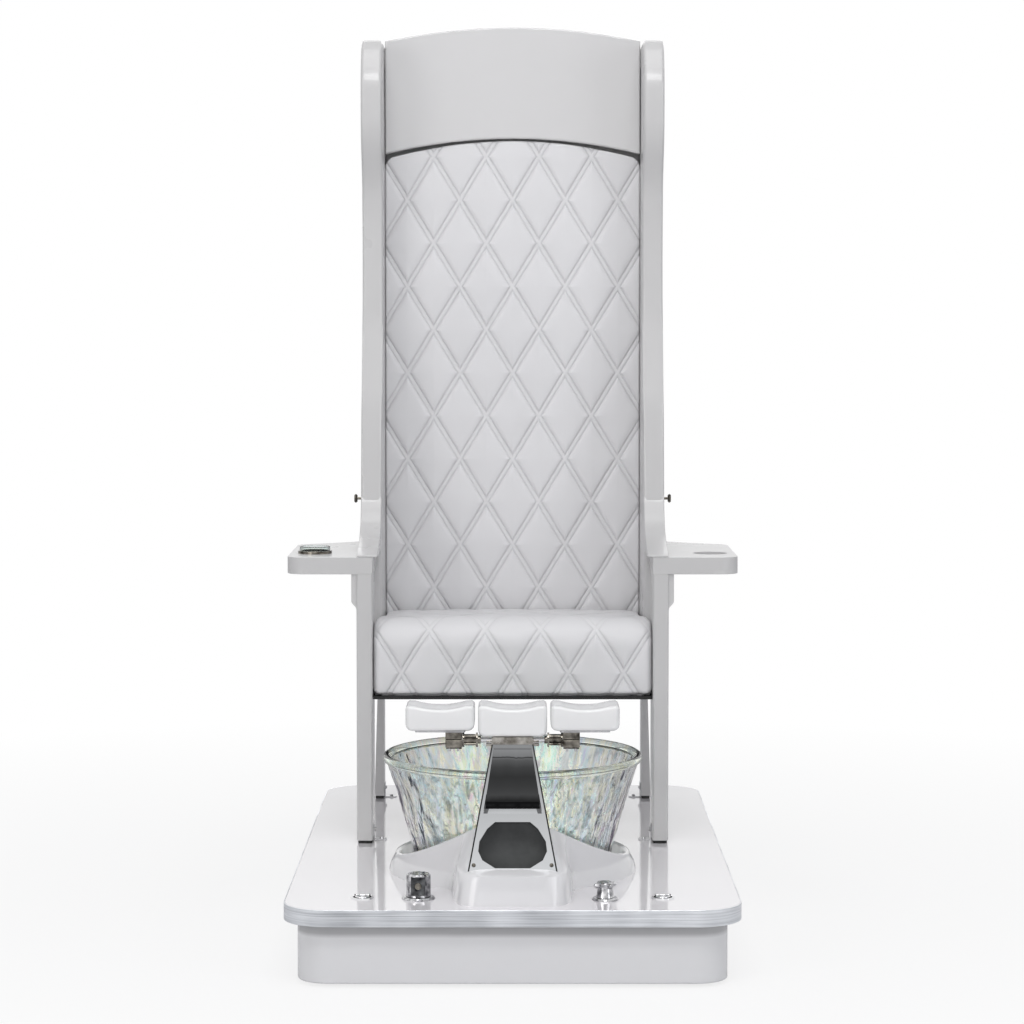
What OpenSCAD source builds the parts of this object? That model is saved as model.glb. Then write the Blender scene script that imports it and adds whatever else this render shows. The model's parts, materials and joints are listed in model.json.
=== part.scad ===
// Pedicure spa chair: a tall wing-back chair on a low deck, with a glass foot bowl,
// a moulded bowl base, a chrome column and a three-pad footrest.
// Millimetres, +Z up, the chair faces -Y. The origin is on the floor, under the middle of the deck.
// "left" is -X and "right" is +X, as someone sees it who stands in front of the chair.

/* [Deck and plinth] */
// Width of the deck
deck_w = 760; // [740:5:800]
// Length of the deck, front to back
deck_l = 1270; // [1250:5:1340]
// Thickness of the deck, board and band
deck_t = 28; // [24:1:36]
// Plan radius of the deck corners
deck_r = 78; // [60:1:90]
// Thickness of the steel edge band
band_t = 2; // [1:0.5:3]
// Height of the plinth
plinth_h = 99; // [90:1:130]
// How far the plinth stands in from the deck edge
plinth_inset = 23; // [18:1:32]
// Wall thickness of the plinth
plinth_wall = 18; // [12:1:24]
// Height of the rubber feet
foot_h = 6; // [4:1:10]
// Diameter of the rubber feet
foot_d = 33; // [26:1:40]

/* [Foot bowl] */
// Distance from the deck's front edge to the centre of the bowl
bowl_y = 370; // [362:1:390]
// Outer radius of the bowl at its rim
bowl_rim_r = 228; // [220:1:234]
// Outer radius of the bowl at its foot
bowl_foot_r = 171; // [160:1:174]
// Height of the bowl
bowl_h = 197; // [185:1:204]
// Wall thickness of the glass
glass_t = 7; // [5:0.5:9]
// Thickness of the rolled rim
rim_d = 15; // [12:1:18]

/* [Bowl base] */
// Radius of the base where it stands on the deck
base_r = 217; // [212:1:222]
// Radius of the base's upper rim
base_rim_r = 203; // [198:1:206]
// Height of the base's rim at the sides and back
base_rim_h = 31; // [28:1:38]
// Height of the base beside the column
saddle_h = 105; // [95:1:115]
// Width of the front pedestal
ped_w = 204; // [196:1:216]
// Distance from the bowl's centre to the pedestal's toe
ped_reach = 342; // [334:1:350]
// Height of the pedestal's front wall
ped_h = 47; // [42:1:56]

/* [Column] */
// Width of the column at its foot
col_foot_w = 152; // [144:1:160]
// Width of the column at its top
col_top_w = 70; // [64:1:76]
// Height of the column's foot above the deck
col_foot_z = 44; // [40:1:50]
// Height of the column's top above the deck
col_top_z = 257; // [245:1:270]
// Lean of the column's face from upright, degrees
col_lean = 13; // [11:0.5:14]
// Width of the column's side flanges
flange_w = 8; // [6:0.5:10]
// Depth of the channel in the column's face
channel_d = 20; // [14:1:24]
// Width of the pocket opening
pocket_w = 114; // [100:1:118]
// Height of the pocket opening
pocket_h = 76; // [66:1:80]
// Depth of the pocket
pocket_d = 34; // [26:1:38]

/* [Footrest] */
// Width of a footrest pad
pad_w = 112; // [104:1:116]
// Depth of a footrest pad, front to back
pad_d = 80; // [66:1:90]
// Height of a side pad
pad_h = 57; // [48:1:66]
// Gap between two pads
pad_gap = 9; // [6:1:14]
// How far the hollow in a pad's top goes down
pad_dip = 7; // [3:0.5:10]
// Diameter of the cross rod
rod_d = 8; // [6:0.5:10]
// Height of the top bar
bar_h = 12; // [11:0.5:15]

/* [Chair] */
// Distance from the deck's front edge to the front of the chair
chair_y = 600; // [600:1:640]
// Width over the outer faces of the legs and stiles
chair_w = 572; // [556:1:600]
// Thickness of a front leg
leg_t = 29; // [24:1:32]
// Depth of a front leg, front to back
leg_d = 92; // [76:1:110]
// Thickness of a stile
stile_t = 39; // [34:1:42]
// Height of the stiles above the deck
stile_h = 1490; // [1440:1:1540]
// Height of the armrest's top above the deck
arm_z = 528; // [500:1:556]
// Thickness of an armrest
arm_t = 31; // [28:1:36]
// Width over both armrests
arm_span = 828; // [800:1:860]
// Length of an armrest, front to back
arm_l = 390; // [360:1:410]
// Diameter of the round recess in each armrest
cup_d = 63; // [56:1:66]
// Depth of the round recess
cup_h = 20; // [14:1:22]
// Distance from the chair's front to a rear leg's front face
rear_leg_y = 498; // [480:1:510]
// Thickness of a rear leg at its foot
rear_leg_t = 19; // [16:1:22]
// Depth of a rear leg, front to back
rear_leg_d = 58; // [46:1:64]

/* [Cushions] */
// Height of the seat's underside above the deck
seat_z = 271; // [250:1:290]
// Thickness of the seat cushion at its nose
seat_h = 136; // [124:1:146]
// Distance from the chair's front to the back cushion's face
seat_depth = 345; // [330:1:355]
// Thickness of the back cushion at its edge
back_t = 46; // [40:1:54]
// Width of one quilted diamond
quilt_w = 102; // [98:1:106]
// Height of one quilted diamond
quilt_h = 167; // [160:1:172]
// How far the quilting puffs out between its channels
puff = 7; // [3:0.5:9]

/* [Fittings] */
// Diameter of the mixer knob
knob_d = 41; // [36:1:46]
// Height of the mixer knob
knob_h = 38; // [32:1:44]
// Diameter of the cross handle's hub
hub_d = 27; // [22:1:30]
// Diameter of a flush ring pull's cup
pull_d = 40; // [36:1:46]
// Diameter of a hook knob's head
hook_d = 17.5; // [14:0.5:22]
// How far a hook knob stands out
hook_l = 16; // [13:1:22]

/* [Hidden] */

run_fit = 0.05;
snug = 0.2;
soft_gap = 0.3;
eps = 0.02;
far = 500;

z_deck = foot_h + plinth_h + deck_t;
y_front = -deck_l / 2;
bowl_c = y_front + bowl_y;
chair_f = y_front + chair_y;
x_leg = chair_w / 2;
x_in = x_leg - stile_t;
plinth_w = deck_w - 2 * plinth_inset;
plinth_l = deck_l - 2 * plinth_inset;
plinth_r = deck_r - plinth_inset;

// ---------- shared shapes ----------

function unit(v) = v / norm(v);

// Points of an arc, n steps from angle a0 to a1
function arc(cx, cy, r, a0, a1, n) =
    [for (i = [0:n]) let (a = a0 + (a1 - a0) * i / n) [cx + r * cos(a), cy + r * sin(a)]];

// One Catmull-Rom step between p1 and p2
function spline_at(p0, p1, p2, p3, t) =
    0.5 * (2 * p1 + (p2 - p0) * t + (2 * p0 - 5 * p1 + 4 * p2 - p3) * t * t
    + (3 * p1 - p0 - 3 * p2 + p3) * t * t * t);

// A smooth line through the points p, n steps between two of them
function smooth(p, n) = let (m = len(p) - 1)
    [for (i = [0:m - 1]) for (k = [0:n - 1])
        spline_at(p[max(i - 1, 0)], p[i], p[i + 1], p[min(i + 2, m)], k / n), p[m]];

// The inward step at point i of the outline p, which runs counter-clockwise
function inward(p, i) = let (n = len(p), a = unit(p[i] - p[(i + n - 1) % n]),
    b = unit(p[(i + 1) % n] - p[i]), m = unit(a + b)) [-m[1], m[0]] / max(0.5, m * a);

// A flat plate with rounded edges: outline p, thickness t, edge radius r. The outline goes out along its
// first "cut" points and comes back along the rest, and the flat sides are laid in strips between the two.
module rounded_plate(p, cut, t, r, steps = 2) {
    n = len(p);
    out = cut - 1;
    back = n - cut - 1;
    most = max(out, back);
    strips = [for (k = [0:most - 1]) let (a0 = round(k * out / most), a1 = round((k + 1) * out / most),
        b0 = n - 1 - round(k * back / most), b1 = n - 1 - round((k + 1) * back / most))
        concat([a0], a1 > a0 ? [a1] : [], b1 < b0 ? [b1] : [], [b0])];
    half = [for (k = [0:steps]) let (a = 90 * k / steps) [r * (1 - sin(a)), r * (1 - cos(a))]];
    rings = concat(half, [for (k = [steps:-1:0]) [half[k][0], t - half[k][1]]]);
    steps_in = [for (i = [0:n - 1]) inward(p, i)];
    pts = [for (g = rings) for (i = [0:n - 1]) let (q = p[i] + steps_in[i] * g[0]) [q[0], q[1], g[1]]];
    last = len(rings) - 1;
    sides = [for (g = [0:last - 1]) for (i = [0:n - 1]) let (j = (i + 1) % n)
        [g * n + i, (g + 1) * n + i, (g + 1) * n + j, g * n + j]];
    polyhedron(points = pts, faces = concat(strips,
        [for (f = strips) [for (i = [len(f) - 1:-1:0]) last * n + f[i]]], sides), convexity = 6);
}

// A plan rectangle with true round corners
module round_rect(w, l, r) {
    square([w - 2 * r, l], center = true);
    square([w, l - 2 * r], center = true);
    for (sx = [-1, 1], sy = [-1, 1]) translate([sx * (w / 2 - r), sy * (l / 2 - r)]) circle(r = r, $fn = 72);
}

// A round bar between two heights
module post(d, z0, z1) {
    translate([0, 0, z0]) cylinder(d = d, h = z1 - z0, $fn = 64);
}

// The same shape on the left and on the right
module both_sides() {
    children();
    mirror([1, 0, 0]) children();
}

// Stands a plan outline up: its x runs along Y, its y along Z and its thickness along X
module side_on(x) {
    translate([x, 0, 0]) rotate([90, 0, 90]) children();
}

// ---------- deck and plinth ----------

joist_t = 30;
joist_w = plinth_w - 2 * plinth_wall;
drain_hole_d = 64;
joist_clear = 15;
joist_off = bowl_c + drain_hole_d / 2 + joist_clear + joist_t / 2;
joist_y = [joist_off, -joist_off];

module plinth() {
    color("white")
    translate([0, 0, foot_h])
    linear_extrude(plinth_h) difference() {
        round_rect(plinth_w, plinth_l, plinth_r);
        round_rect(joist_w, plinth_l - 2 * plinth_wall, plinth_r - plinth_wall);
    }
}

module plinth_joists() {
    color("tan")
    for (y = joist_y) translate([-joist_w / 2, y - joist_t / 2, foot_h]) cube([joist_w, joist_t, plinth_h]);
}

foot_in = 62;

module plinth_feet() {
    color("black")
    for (sx = [-1, 1], y = [-plinth_l / 2 + foot_in, 0, plinth_l / 2 - foot_in])
        translate([sx * (plinth_w / 2 - foot_d / 2 - 12), y, 0]) post(foot_d, 0, foot_h);
}

mixer_at = [-157, y_front + 100];
diverter_at = [154, y_front + 91];
pull_at = [deck_w / 2 - 129, y_front + 104];
pull_body_d = pull_d - 6;
pull_depth = 12;
mixer_neck_d = 28;
diverter_neck_d = 22;
screw_d = 4;
screw_head_d = 8.5;
screw_head_h = 2.6;
screw_l = 18;

// Where the four leg brackets stand: [x of the leg's inner face, y of the bracket's middle, side]
front_in_x = x_leg - leg_t;
rear_in_x = x_leg - leg_t + 1;
bracket_l = 24;
bracket_w = 20;
bracket_t = 2;
front_bracket_y = chair_f + leg_d / 2;
rear_leg_f = chair_f + rear_leg_y;
rear_bracket_y = rear_leg_f + rear_leg_d / 2;
bracket_at = [[front_in_x, front_bracket_y], [rear_in_x, rear_bracket_y]];

module deck_board() {
    color("white")
    difference() {
        translate([0, 0, z_deck - deck_t]) linear_extrude(deck_t)
            round_rect(deck_w - 2 * band_t, deck_l - 2 * band_t, deck_r - band_t);
        translate([0, bowl_c, z_deck]) post(drain_hole_d, -far, far);
        translate([mixer_at[0], mixer_at[1], z_deck]) post(mixer_neck_d + 1, -far, far);
        translate([diverter_at[0], diverter_at[1], z_deck]) post(diverter_neck_d + 1, -far, far);
        both_sides() translate([pull_at[0], pull_at[1], z_deck]) post(pull_body_d + 2 * snug, -pull_depth, far);
        both_sides() for (b = bracket_at) translate([b[0] - bracket_l * 0.6, b[1], z_deck])
            post(screw_d, -screw_l, far);
    }
}

module deck_band() {
    color("silver")
    translate([0, 0, z_deck - deck_t]) linear_extrude(deck_t) difference() {
        round_rect(deck_w, deck_l, deck_r);
        round_rect(deck_w - 2 * band_t, deck_l - 2 * band_t, deck_r - band_t);
    }
}

// ---------- flush ring pulls ----------

pull_flange_h = 2;
pull_pin_d = 4.2;
pull_wire_d = 3.4;
pull_pin_z = 2.4;
lug_x = 12;
lug_w = 2.6;
lug_l = 5.4;
pull_pin_l = 2 * lug_x + lug_w - 0.4;
pull_in_d = pull_body_d - 3;
ring_r = 10.5;
pull_pin_y = ring_r;

module ring_cup() {
    difference() {
        union() {
            difference() {
                union() {
                    post(pull_body_d, -pull_depth, 0);
                    cylinder(d1 = pull_d, d2 = pull_d - 2, h = pull_flange_h, $fn = 64);
                }
                post(pull_in_d, 1.5 - pull_depth, far);
            }
            intersection() {
                for (sx = [-1, 1]) translate([sx * lug_x - lug_w / 2, pull_pin_y - lug_l / 2, 1 - pull_depth])
                    cube([lug_w, lug_l, pull_depth - 1 + pull_pin_z + lug_l / 2]);
                post(pull_body_d - 0.2, -pull_depth, far);
            }
        }
        translate([-far / 2, pull_pin_y, pull_pin_z]) rotate([0, 90, 0])
            cylinder(d = pull_pin_d + 2 * run_fit, h = far, $fn = 48);
    }
}

module left_ring_cup() {
    color("gainsboro") translate([-pull_at[0], pull_at[1], z_deck]) ring_cup();
}

module right_ring_cup() {
    color("gainsboro") translate([pull_at[0], pull_at[1], z_deck]) ring_cup();
}

module pull_ring() {
    translate([0, 0, pull_pin_z]) {
        rotate_extrude($fn = 72) translate([ring_r, 0]) circle(d = pull_wire_d, $fn = 24);
        translate([-pull_pin_l / 2, pull_pin_y, 0]) rotate([0, 90, 0])
            cylinder(d = pull_pin_d, h = pull_pin_l, $fn = 48);
    }
}

module left_ring() {
    color("silver") translate([-pull_at[0], pull_at[1], z_deck]) pull_ring();
}

module right_ring() {
    color("silver") translate([pull_at[0], pull_at[1], z_deck]) pull_ring();
}

// ---------- bowl, drain and moulded base ----------

gasket_t = 2;
base_floor = 12;
bowl_seat = 6;
bowl_z = bowl_seat + gasket_t;
rim_z = bowl_z + bowl_h - rim_d / 2;
rim_c_r = bowl_rim_r - rim_d / 2;
drain_d = 38;
bowl_floor_t = 9;
bowl_foot_round = 12;

// Outer radius of the bowl's wall, t from 0 at the foot to 1 under the rim
function bowl_wall(t) = bowl_foot_r + (rim_c_r + glass_t / 2 - bowl_foot_r) * (0.86 * t + 0.14 * t * t);
function bowl_height(t) = bowl_z + bowl_foot_round + (rim_z - bowl_z - bowl_foot_round) * t;

bowl_steps = 12;
bowl_outer = concat([[bowl_foot_r - bowl_foot_round, bowl_z]],
    arc(bowl_foot_r - bowl_foot_round, bowl_z + bowl_foot_round, bowl_foot_round, -60, -15, 2),
    [for (i = [0:bowl_steps]) [bowl_wall(i / bowl_steps), bowl_height(i / bowl_steps)]]);
bowl_inner = concat([for (i = [bowl_steps:-1:1]) [bowl_wall(i / bowl_steps) - glass_t, bowl_height(i / bowl_steps)]],
    arc(bowl_foot_r - glass_t - bowl_foot_round, bowl_z + bowl_floor_t + bowl_foot_round, bowl_foot_round, 0, -90, 4));

module glass_bowl() {
    color("lightcyan", 0.5)
    translate([0, bowl_c, z_deck]) rotate_extrude($fn = 144) {
        polygon(concat([[drain_d / 2 + 1, bowl_z]], bowl_outer, bowl_inner,
            [[drain_d / 2 + 1, bowl_z + bowl_floor_t]]));
        translate([rim_c_r, rim_z]) circle(d = rim_d, $fn = 32);
    }
}

module bowl_gasket() {
    color("dimgray")
    translate([0, bowl_c, z_deck + bowl_seat]) linear_extrude(gasket_t) difference() {
        circle(r = bowl_foot_r - bowl_foot_round, $fn = 144);
        circle(r = bowl_foot_r - bowl_foot_round - 30, $fn = 144);
    }
}

washer_t = 1.5;
flange_t = 3;
drain_bore_d = 32;
drain_end = -60;
drain_top = bowl_z + bowl_floor_t + washer_t;
stem_d = 6;
guide_t = 4;

module drain_flange() {
    color("silver")
    translate([0, bowl_c, z_deck]) difference() {
        union() {
            translate([0, 0, drain_top]) cylinder(d1 = 58, d2 = 52, h = flange_t, $fn = 96);
            post(drain_d, drain_end, drain_top + eps);
        }
        translate([0, 0, drain_top + flange_t - 2]) cylinder(d1 = drain_bore_d, d2 = drain_bore_d + 5, h = 2 + eps, $fn = 96);
        post(drain_bore_d, drain_end + guide_t, far);
        post(stem_d + 2 * run_fit, -far, far);
        for (a = [30:60:359]) rotate(a) translate([10, 0, 0]) post(6, -far, drain_end + far);
    }
}

module drain_washer() {
    color("black")
    translate([0, bowl_c, z_deck + bowl_z + bowl_floor_t]) linear_extrude(washer_t) difference() {
        circle(d = 56, $fn = 96);
        circle(d = drain_d, $fn = 96);
    }
}

nut_t = 8;

module drain_nut() {
    color("goldenrod")
    translate([0, bowl_c, z_deck - nut_t]) linear_extrude(nut_t) difference() {
        circle(d = 60, $fn = 8);
        circle(d = drain_d, $fn = 64);
    }
}

tail_z = -92;

module drain_tailpiece() {
    color("goldenrod")
    translate([0, bowl_c, z_deck]) difference() {
        union() {
            post(drain_d, tail_z, drain_end);
            difference() {
                post(50, drain_end - 8, drain_end + 8);
                post(drain_d, drain_end, far);
            }
        }
        post(drain_bore_d, -far, drain_end + eps);
    }
}

stopper_d = 36;

module drain_stopper() {
    color("silver")
    translate([0, bowl_c, z_deck]) {
        post(stem_d, drain_end - 6, drain_top + flange_t + 1);
        translate([0, 0, drain_top + flange_t + soft_gap]) difference() {
            intersection() {
                translate([0, 0, 9 - 36]) sphere(r = 36, $fn = 96);
                post(stopper_d, 0, 20);
            }
            post(drain_bore_d - 8, -1, 1.5);
        }
        post(stem_d + 4, drain_top + flange_t - 3, drain_top + flange_t + 3);
    }
}

// Plan radius of the base's outline at angle a from the front: a round body with a soft-cornered pedestal
function ped_r(a) = pow(pow(abs(cos(a)) / ped_reach, 7) + pow(abs(sin(a)) / (ped_w / 2), 7), -1 / 7);
function base_out(a) = pow(pow(base_r, 18) + pow(abs(a) < 90 ? ped_r(a) : 1, 18), 1 / 18);
// 1 on the pedestal, 0 on the round body
function ped_share(a) = let (t = min(1, max(0, (base_out(a) - base_r - 4) / 34))) t * t * (3 - 2 * t);
// Height of the rim at angle a: level at the back, climbing beside the column
function rim_at(a) = abs(a) >= 90 ? base_rim_h
    : let (s = (sin(90) - sin(abs(a))) / (1 - 0.31)) base_rim_h + (saddle_h - base_rim_h) * min(1, s);
function wall_top(a) = base_rim_h - 7 + (ped_h - base_rim_h + 7) * ped_share(a);

base_angles = concat([for (a = [-180:9:-45]) a], [for (a = [-42:2:42]) a], [for (a = [45:9:171]) a]);

// The section of the base at angle a, from its outer foot to its inner floor, as [radius, height]
function base_section(a) = let (r = base_out(a), p = ped_share(a), w = wall_top(a), h = rim_at(a),
    rw = r - 9 - 5 * p, ro = base_rim_r + 2, lip = min(rw - 2, ro + 1))
    [[r, 0], [r - 1, 5], [r - 4 - 3 * p, w * 0.62], [rw, w], [max(lip, rw - 6 - p), w + 4],
    [ro + (rw - 7 - ro) * 0.45 * p, w + 5 + (h - w - 5) * (0.42 + 0.2 * (1 - p))], [ro, h - 1.5],
    [base_rim_r - 2.5, h], [base_rim_r - 7, h - 3], [base_rim_r - 13, base_floor]];

module base_body() {
    n = len(base_angles);
    m = len(base_section(0));
    pts = concat([for (a = base_angles) for (q = base_section(a)) [q[0] * sin(a), -q[0] * cos(a), q[1]]],
        [[0, 0, 0], [0, 0, base_floor]]);
    foot = n * m;
    top = n * m + 1;
    sides = [for (i = [0:n - 1]) for (k = [0:m - 2]) let (j = (i + 1) % n)
        each [[i * m + k, i * m + k + 1, j * m + k + 1], [i * m + k, j * m + k + 1, j * m + k]]];
    floors = [for (i = [0:n - 1]) let (j = (i + 1) % n) each [[foot, i * m, j * m], [top, j * m + m - 1, i * m + m - 1]]];
    polyhedron(points = pts, faces = concat(sides, floors), convexity = 8);
}

base_clear = 1;

// The space that the bowl takes in the base, one clearance larger
module bowl_space() {
    rotate_extrude($fn = 144) polygon([[0, bowl_seat], [bowl_foot_r + base_clear, bowl_seat],
        [bowl_foot_r + base_clear, bowl_z + bowl_foot_round],
        for (i = [1:bowl_steps]) [bowl_wall(i / bowl_steps) + base_clear, bowl_height(i / bowl_steps)],
        [0, bowl_height(1)]]);
}

module spa_base() {
    color("white")
    difference() {
        translate([0, bowl_c, z_deck]) base_body();
        translate([0, bowl_c, z_deck]) bowl_space();
        translate([0, bowl_c, z_deck]) post(drain_d, -far, far);
        column_space();
        column_screw_holes();
    }
}

// ---------- column ----------

col_face_y = bowl_c - ped_reach + 32;
col_back_y = bowl_c - bowl_rim_r - 5;
col_len = (col_top_z - col_foot_z) / cos(col_lean);
col_deep = 130;
pocket_u = 14;
channel_u = pocket_u + pocket_h + 14;

// Stands a shape drawn on the column's face in place, its thickness running out of the face
module on_column(v) {
    translate([0, col_face_y, z_deck + col_foot_z]) rotate([90 - col_lean, 0, 0]) translate([0, 0, v]) children();
}

// Half the column's width at the distance u up its face
function col_half(u) = (col_foot_w + (col_top_w - col_foot_w) * u / col_len) / 2;

module column_space() {
    intersection() {
        on_column(-col_deep) linear_extrude(col_deep) polygon([
            [-col_half(-40), -40], [col_half(-40), -40], [col_half(col_len + 60), col_len + 60],
            [-col_half(col_len + 60), col_len + 60]]);
        translate([-far, col_face_y - 60, z_deck + col_foot_z]) cube([2 * far, col_back_y - col_face_y + 60, col_top_z - col_foot_z]);
    }
}

pocket_cut = 28;

module pocket_outline() {
    w = pocket_w / 2;
    polygon([[-w + pocket_cut, 0], [w - pocket_cut, 0], [w - 7, 13], [w, 28], [w - 2, 44], [w - 15, 65],
        [w - 28, pocket_h], [-w + 28, pocket_h], [-w + 15, 65], [-w + 2, 44], [-w, 28], [-w + 7, 13]]);
}

col_screw_u = 19;
col_screw_x = (col_foot_w + (col_top_w - col_foot_w) * col_screw_u / col_len) / 2 - 8;

module column_screw_holes() {
    both_sides() on_column(-34) translate([col_screw_x, col_screw_u, 0]) cylinder(d = 3, h = 60, $fn = 32);
}

module column() {
    color("silver")
    difference() {
        column_space();
        on_column(-channel_d) linear_extrude(far) polygon([
            [-col_half(channel_u) + flange_w, channel_u], [col_half(channel_u) - flange_w, channel_u],
            [col_half(col_len - 6) - flange_w * 0.6, col_len - 6],
            [-col_half(col_len - 6) + flange_w * 0.6, col_len - 6]]);
        on_column(-channel_d / 2) translate([0, channel_u - 1, 0]) rotate([-28, 0, 0]) translate([0, 0, -channel_d / 2])
            linear_extrude(far) polygon([[-col_half(channel_u) + flange_w, 0], [col_half(channel_u) - flange_w, 0],
            [col_half(channel_u + 24) - flange_w, 24], [-col_half(channel_u + 24) + flange_w, 24]]);
        on_column(-pocket_d) translate([0, pocket_u, 0]) linear_extrude(far) pocket_outline();
        column_screw_holes();
    }
}

module column_screws() {
    color("dimgray")
    both_sides() {
        on_column(0) translate([col_screw_x, col_screw_u, 0]) cylinder(d1 = 7, d2 = 5, h = 2, $fn = 32);
        on_column(-34) translate([col_screw_x, col_screw_u, 0]) cylinder(d = 3, h = 34 + eps, $fn = 32);
    }
}

// ---------- footrest ----------

col_top_y = col_face_y + (col_top_z - col_foot_z) * tan(col_lean);
bar_w = 66;
bar_y = col_top_y - 1;
bar_d = col_back_y - bar_y;
bar_z = z_deck + col_top_z;
bar_top = bar_z + bar_h;
rod_y = bar_y + bar_d / 2;
rod_z = bar_z + bar_h / 2;
side_pad_z = bar_top + 7;
pad_f = bar_y;
pad_x = pad_w + pad_gap;
block_x0 = 84;
block_x1 = 112;
frame_x0 = 58;
pad_plate_t = 3;
pad_screw_y = rod_y + 6;

module footrest_bar() {
    color("silver")
    difference() {
        union() {
            translate([-bar_w / 2, bar_y, bar_z]) cube([bar_w, bar_d, bar_h]);
            both_sides() translate([bar_w / 2 - eps, bar_y + 1, bar_z - 3]) cube([11, bar_d - 2, 4]);
            both_sides() translate([bar_w / 2 - 1, bar_y + 1, bar_z + eps]) cube([3, bar_d - 2, bar_h - 2]);
        }
        translate([-far / 2, rod_y, rod_z]) rotate([0, 90, 0]) cylinder(d = rod_d, h = far, $fn = 64);
        column_space();
        both_sides() translate([bar_w / 2 - 9, bar_y - 1, rod_z]) rotate([-90, 0, 0]) cylinder(d = 5, h = 3, $fn = 32);
    }
}

module footrest_rod() {
    color("silver")
    translate([-block_x1, rod_y, rod_z]) rotate([0, 90, 0]) cylinder(d = rod_d, h = 2 * block_x1, $fn = 64);
}

cage_d = 24;
cage_bar_d = 4;
cage_bar_r = cage_d / 2 - cage_bar_d / 2 - 0.7;
cage_l = block_x0 - soft_gap - frame_x0;

// A round bar along X at the rod, between two distances from the middle
module on_rod(d, x0, x1) {
    translate([x0, rod_y, rod_z]) rotate([0, 90, 0]) cylinder(d = d, h = x1 - x0, $fn = 48);
}

// The fixed cage on the rod beside each hinge block
module rod_frames() {
    color("dimgray")
    both_sides() difference() {
        union() {
            on_rod(cage_d, frame_x0, frame_x0 + 3);
            on_rod(cage_d, frame_x0 + cage_l - 3, frame_x0 + cage_l);
            on_rod(rod_d + 5, frame_x0 - 5, frame_x0 + cage_l - 1);
            for (a = [45:90:359]) translate([0, cage_bar_r * cos(a), cage_bar_r * sin(a)])
                on_rod(cage_bar_d, frame_x0 + 1, frame_x0 + cage_l - 1);
        }
        on_rod(rod_d, 0, far);
    }
}

// The outline of a pad seen from the front, h high at its ends, with the hollow in its top
function pad_outline(h) = let (w = pad_w / 2, r = 11)
    concat(arc(-w + r, r, r, 180, 270, 3), arc(w - r, r, r, 270, 360, 3), arc(w - 7, h - 7, 7, 0, 75, 3),
    [for (x = [6:-1:-6]) [x * (w - 12) / 6.5, h - pad_dip * (1 - pow(abs(x) / 6.5, 2))]],
    arc(-w + 7, h - 7, 7, 105, 180, 3));

module pad_body(h) {
    translate([0, pad_f + pad_d, 0]) rotate([90, 0, 0]) rounded_plate(pad_outline(h), 8, pad_d, 6, 2);
}

module centre_pad() {
    color("white")
    difference() {
        translate([0, 0, bar_top]) pad_body(side_pad_z + pad_h - bar_top);
        for (s = [-1, 1]) translate([s * 20, rod_y, bar_top]) post(screw_d, -1, 14);
    }
}

module left_pad() {
    color("white") translate([-pad_x, 0, side_pad_z + pad_plate_t]) pad_body(pad_h - pad_plate_t);
}

module right_pad() {
    color("white") translate([pad_x, 0, side_pad_z + pad_plate_t]) pad_body(pad_h - pad_plate_t);
}

plate_in = 14;

module pad_plate() {
    translate([pad_x, pad_f + pad_d / 2, side_pad_z]) linear_extrude(pad_plate_t)
        round_rect(pad_w - 2 * plate_in, pad_d - 2 * plate_in + 12, 6);
}

module left_pad_plate() {
    color("silver") mirror([1, 0, 0]) pad_plate();
}

module right_pad_plate() {
    color("silver") pad_plate();
}

block_h = 28;
block_d = 24;

module hinge_block() {
    difference() {
        union() {
            translate([block_x0, rod_y - block_d / 2, rod_z - block_h / 2 + 3])
                cube([block_x1 - block_x0, block_d, side_pad_z - rod_z + block_h / 2 - 3]);
            translate([block_x0 + 1, rod_y, rod_z - 2]) rotate([0, 90, 0]) cylinder(d = block_d + 3, h = block_x1 - block_x0 - 2, $fn = 64);
        }
        translate([0, rod_y, rod_z]) rotate([0, 90, 0]) cylinder(d = rod_d + 2 * run_fit, h = far, $fn = 64);
        for (s = [0, 1]) translate([block_x0 + 7 + 14 * s, rod_y - 3, rod_z - far / 2]) cylinder(d = 4, h = far / 2 - rod_d / 2, $fn = 32);
        translate([0, rod_y - far / 2, side_pad_z]) cube([far, far, far]);
    }
}

module left_hinge_block() {
    color("dimgray") mirror([1, 0, 0]) hinge_block();
}

module right_hinge_block() {
    color("dimgray") hinge_block();
}

module set_screws() {
    for (s = [0, 1]) translate([block_x0 + 7 + 14 * s, rod_y - 3, rod_z - block_h / 2 - 5])
        cylinder(d = 4, h = block_h / 2 + 5 - rod_d / 2 - 1, $fn = 32);
}

module hinge_set_screws_left() {
    color("silver") mirror([1, 0, 0]) set_screws();
}

module hinge_set_screws_right() {
    color("silver") set_screws();
}

// ---------- valves and handles ----------

plate_h = 4;
mixer_plate_d = 57;
mixer_stem_d = 8;
knob_gap = 0.4;

module valve_body(neck_d, body_d, depth, stem, stem_h) {
    post(neck_d, -deck_t, 0);
    post(body_d, -deck_t - depth, -deck_t + eps);
    post(stem, -1, stem_h);
    difference() {
        post(neck_d + 14, -deck_t - 7, -deck_t);
        post(neck_d - 2, -far, far);
    }
}

valve_depth = 44;
inlet_d = 15;
inlet_l = 22;
inlet_boss = 4;
inlet_boss_h = 16;
inlet_off = 16;

module mixer_valve() {
    color("goldenrod")
    translate([mixer_at[0], mixer_at[1], z_deck]) {
        valve_body(mixer_neck_d, mixer_neck_d - 4, valve_depth, mixer_stem_d, plate_h + knob_h - 12);
        for (s = [-1, 1]) translate([s * inlet_off, 0, 0]) {
            post(inlet_d + inlet_boss, -deck_t - valve_depth, -deck_t - valve_depth + inlet_boss_h);
            post(inlet_d, -deck_t - valve_depth - inlet_l, -deck_t - valve_depth + eps);
        }
    }
}

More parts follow.
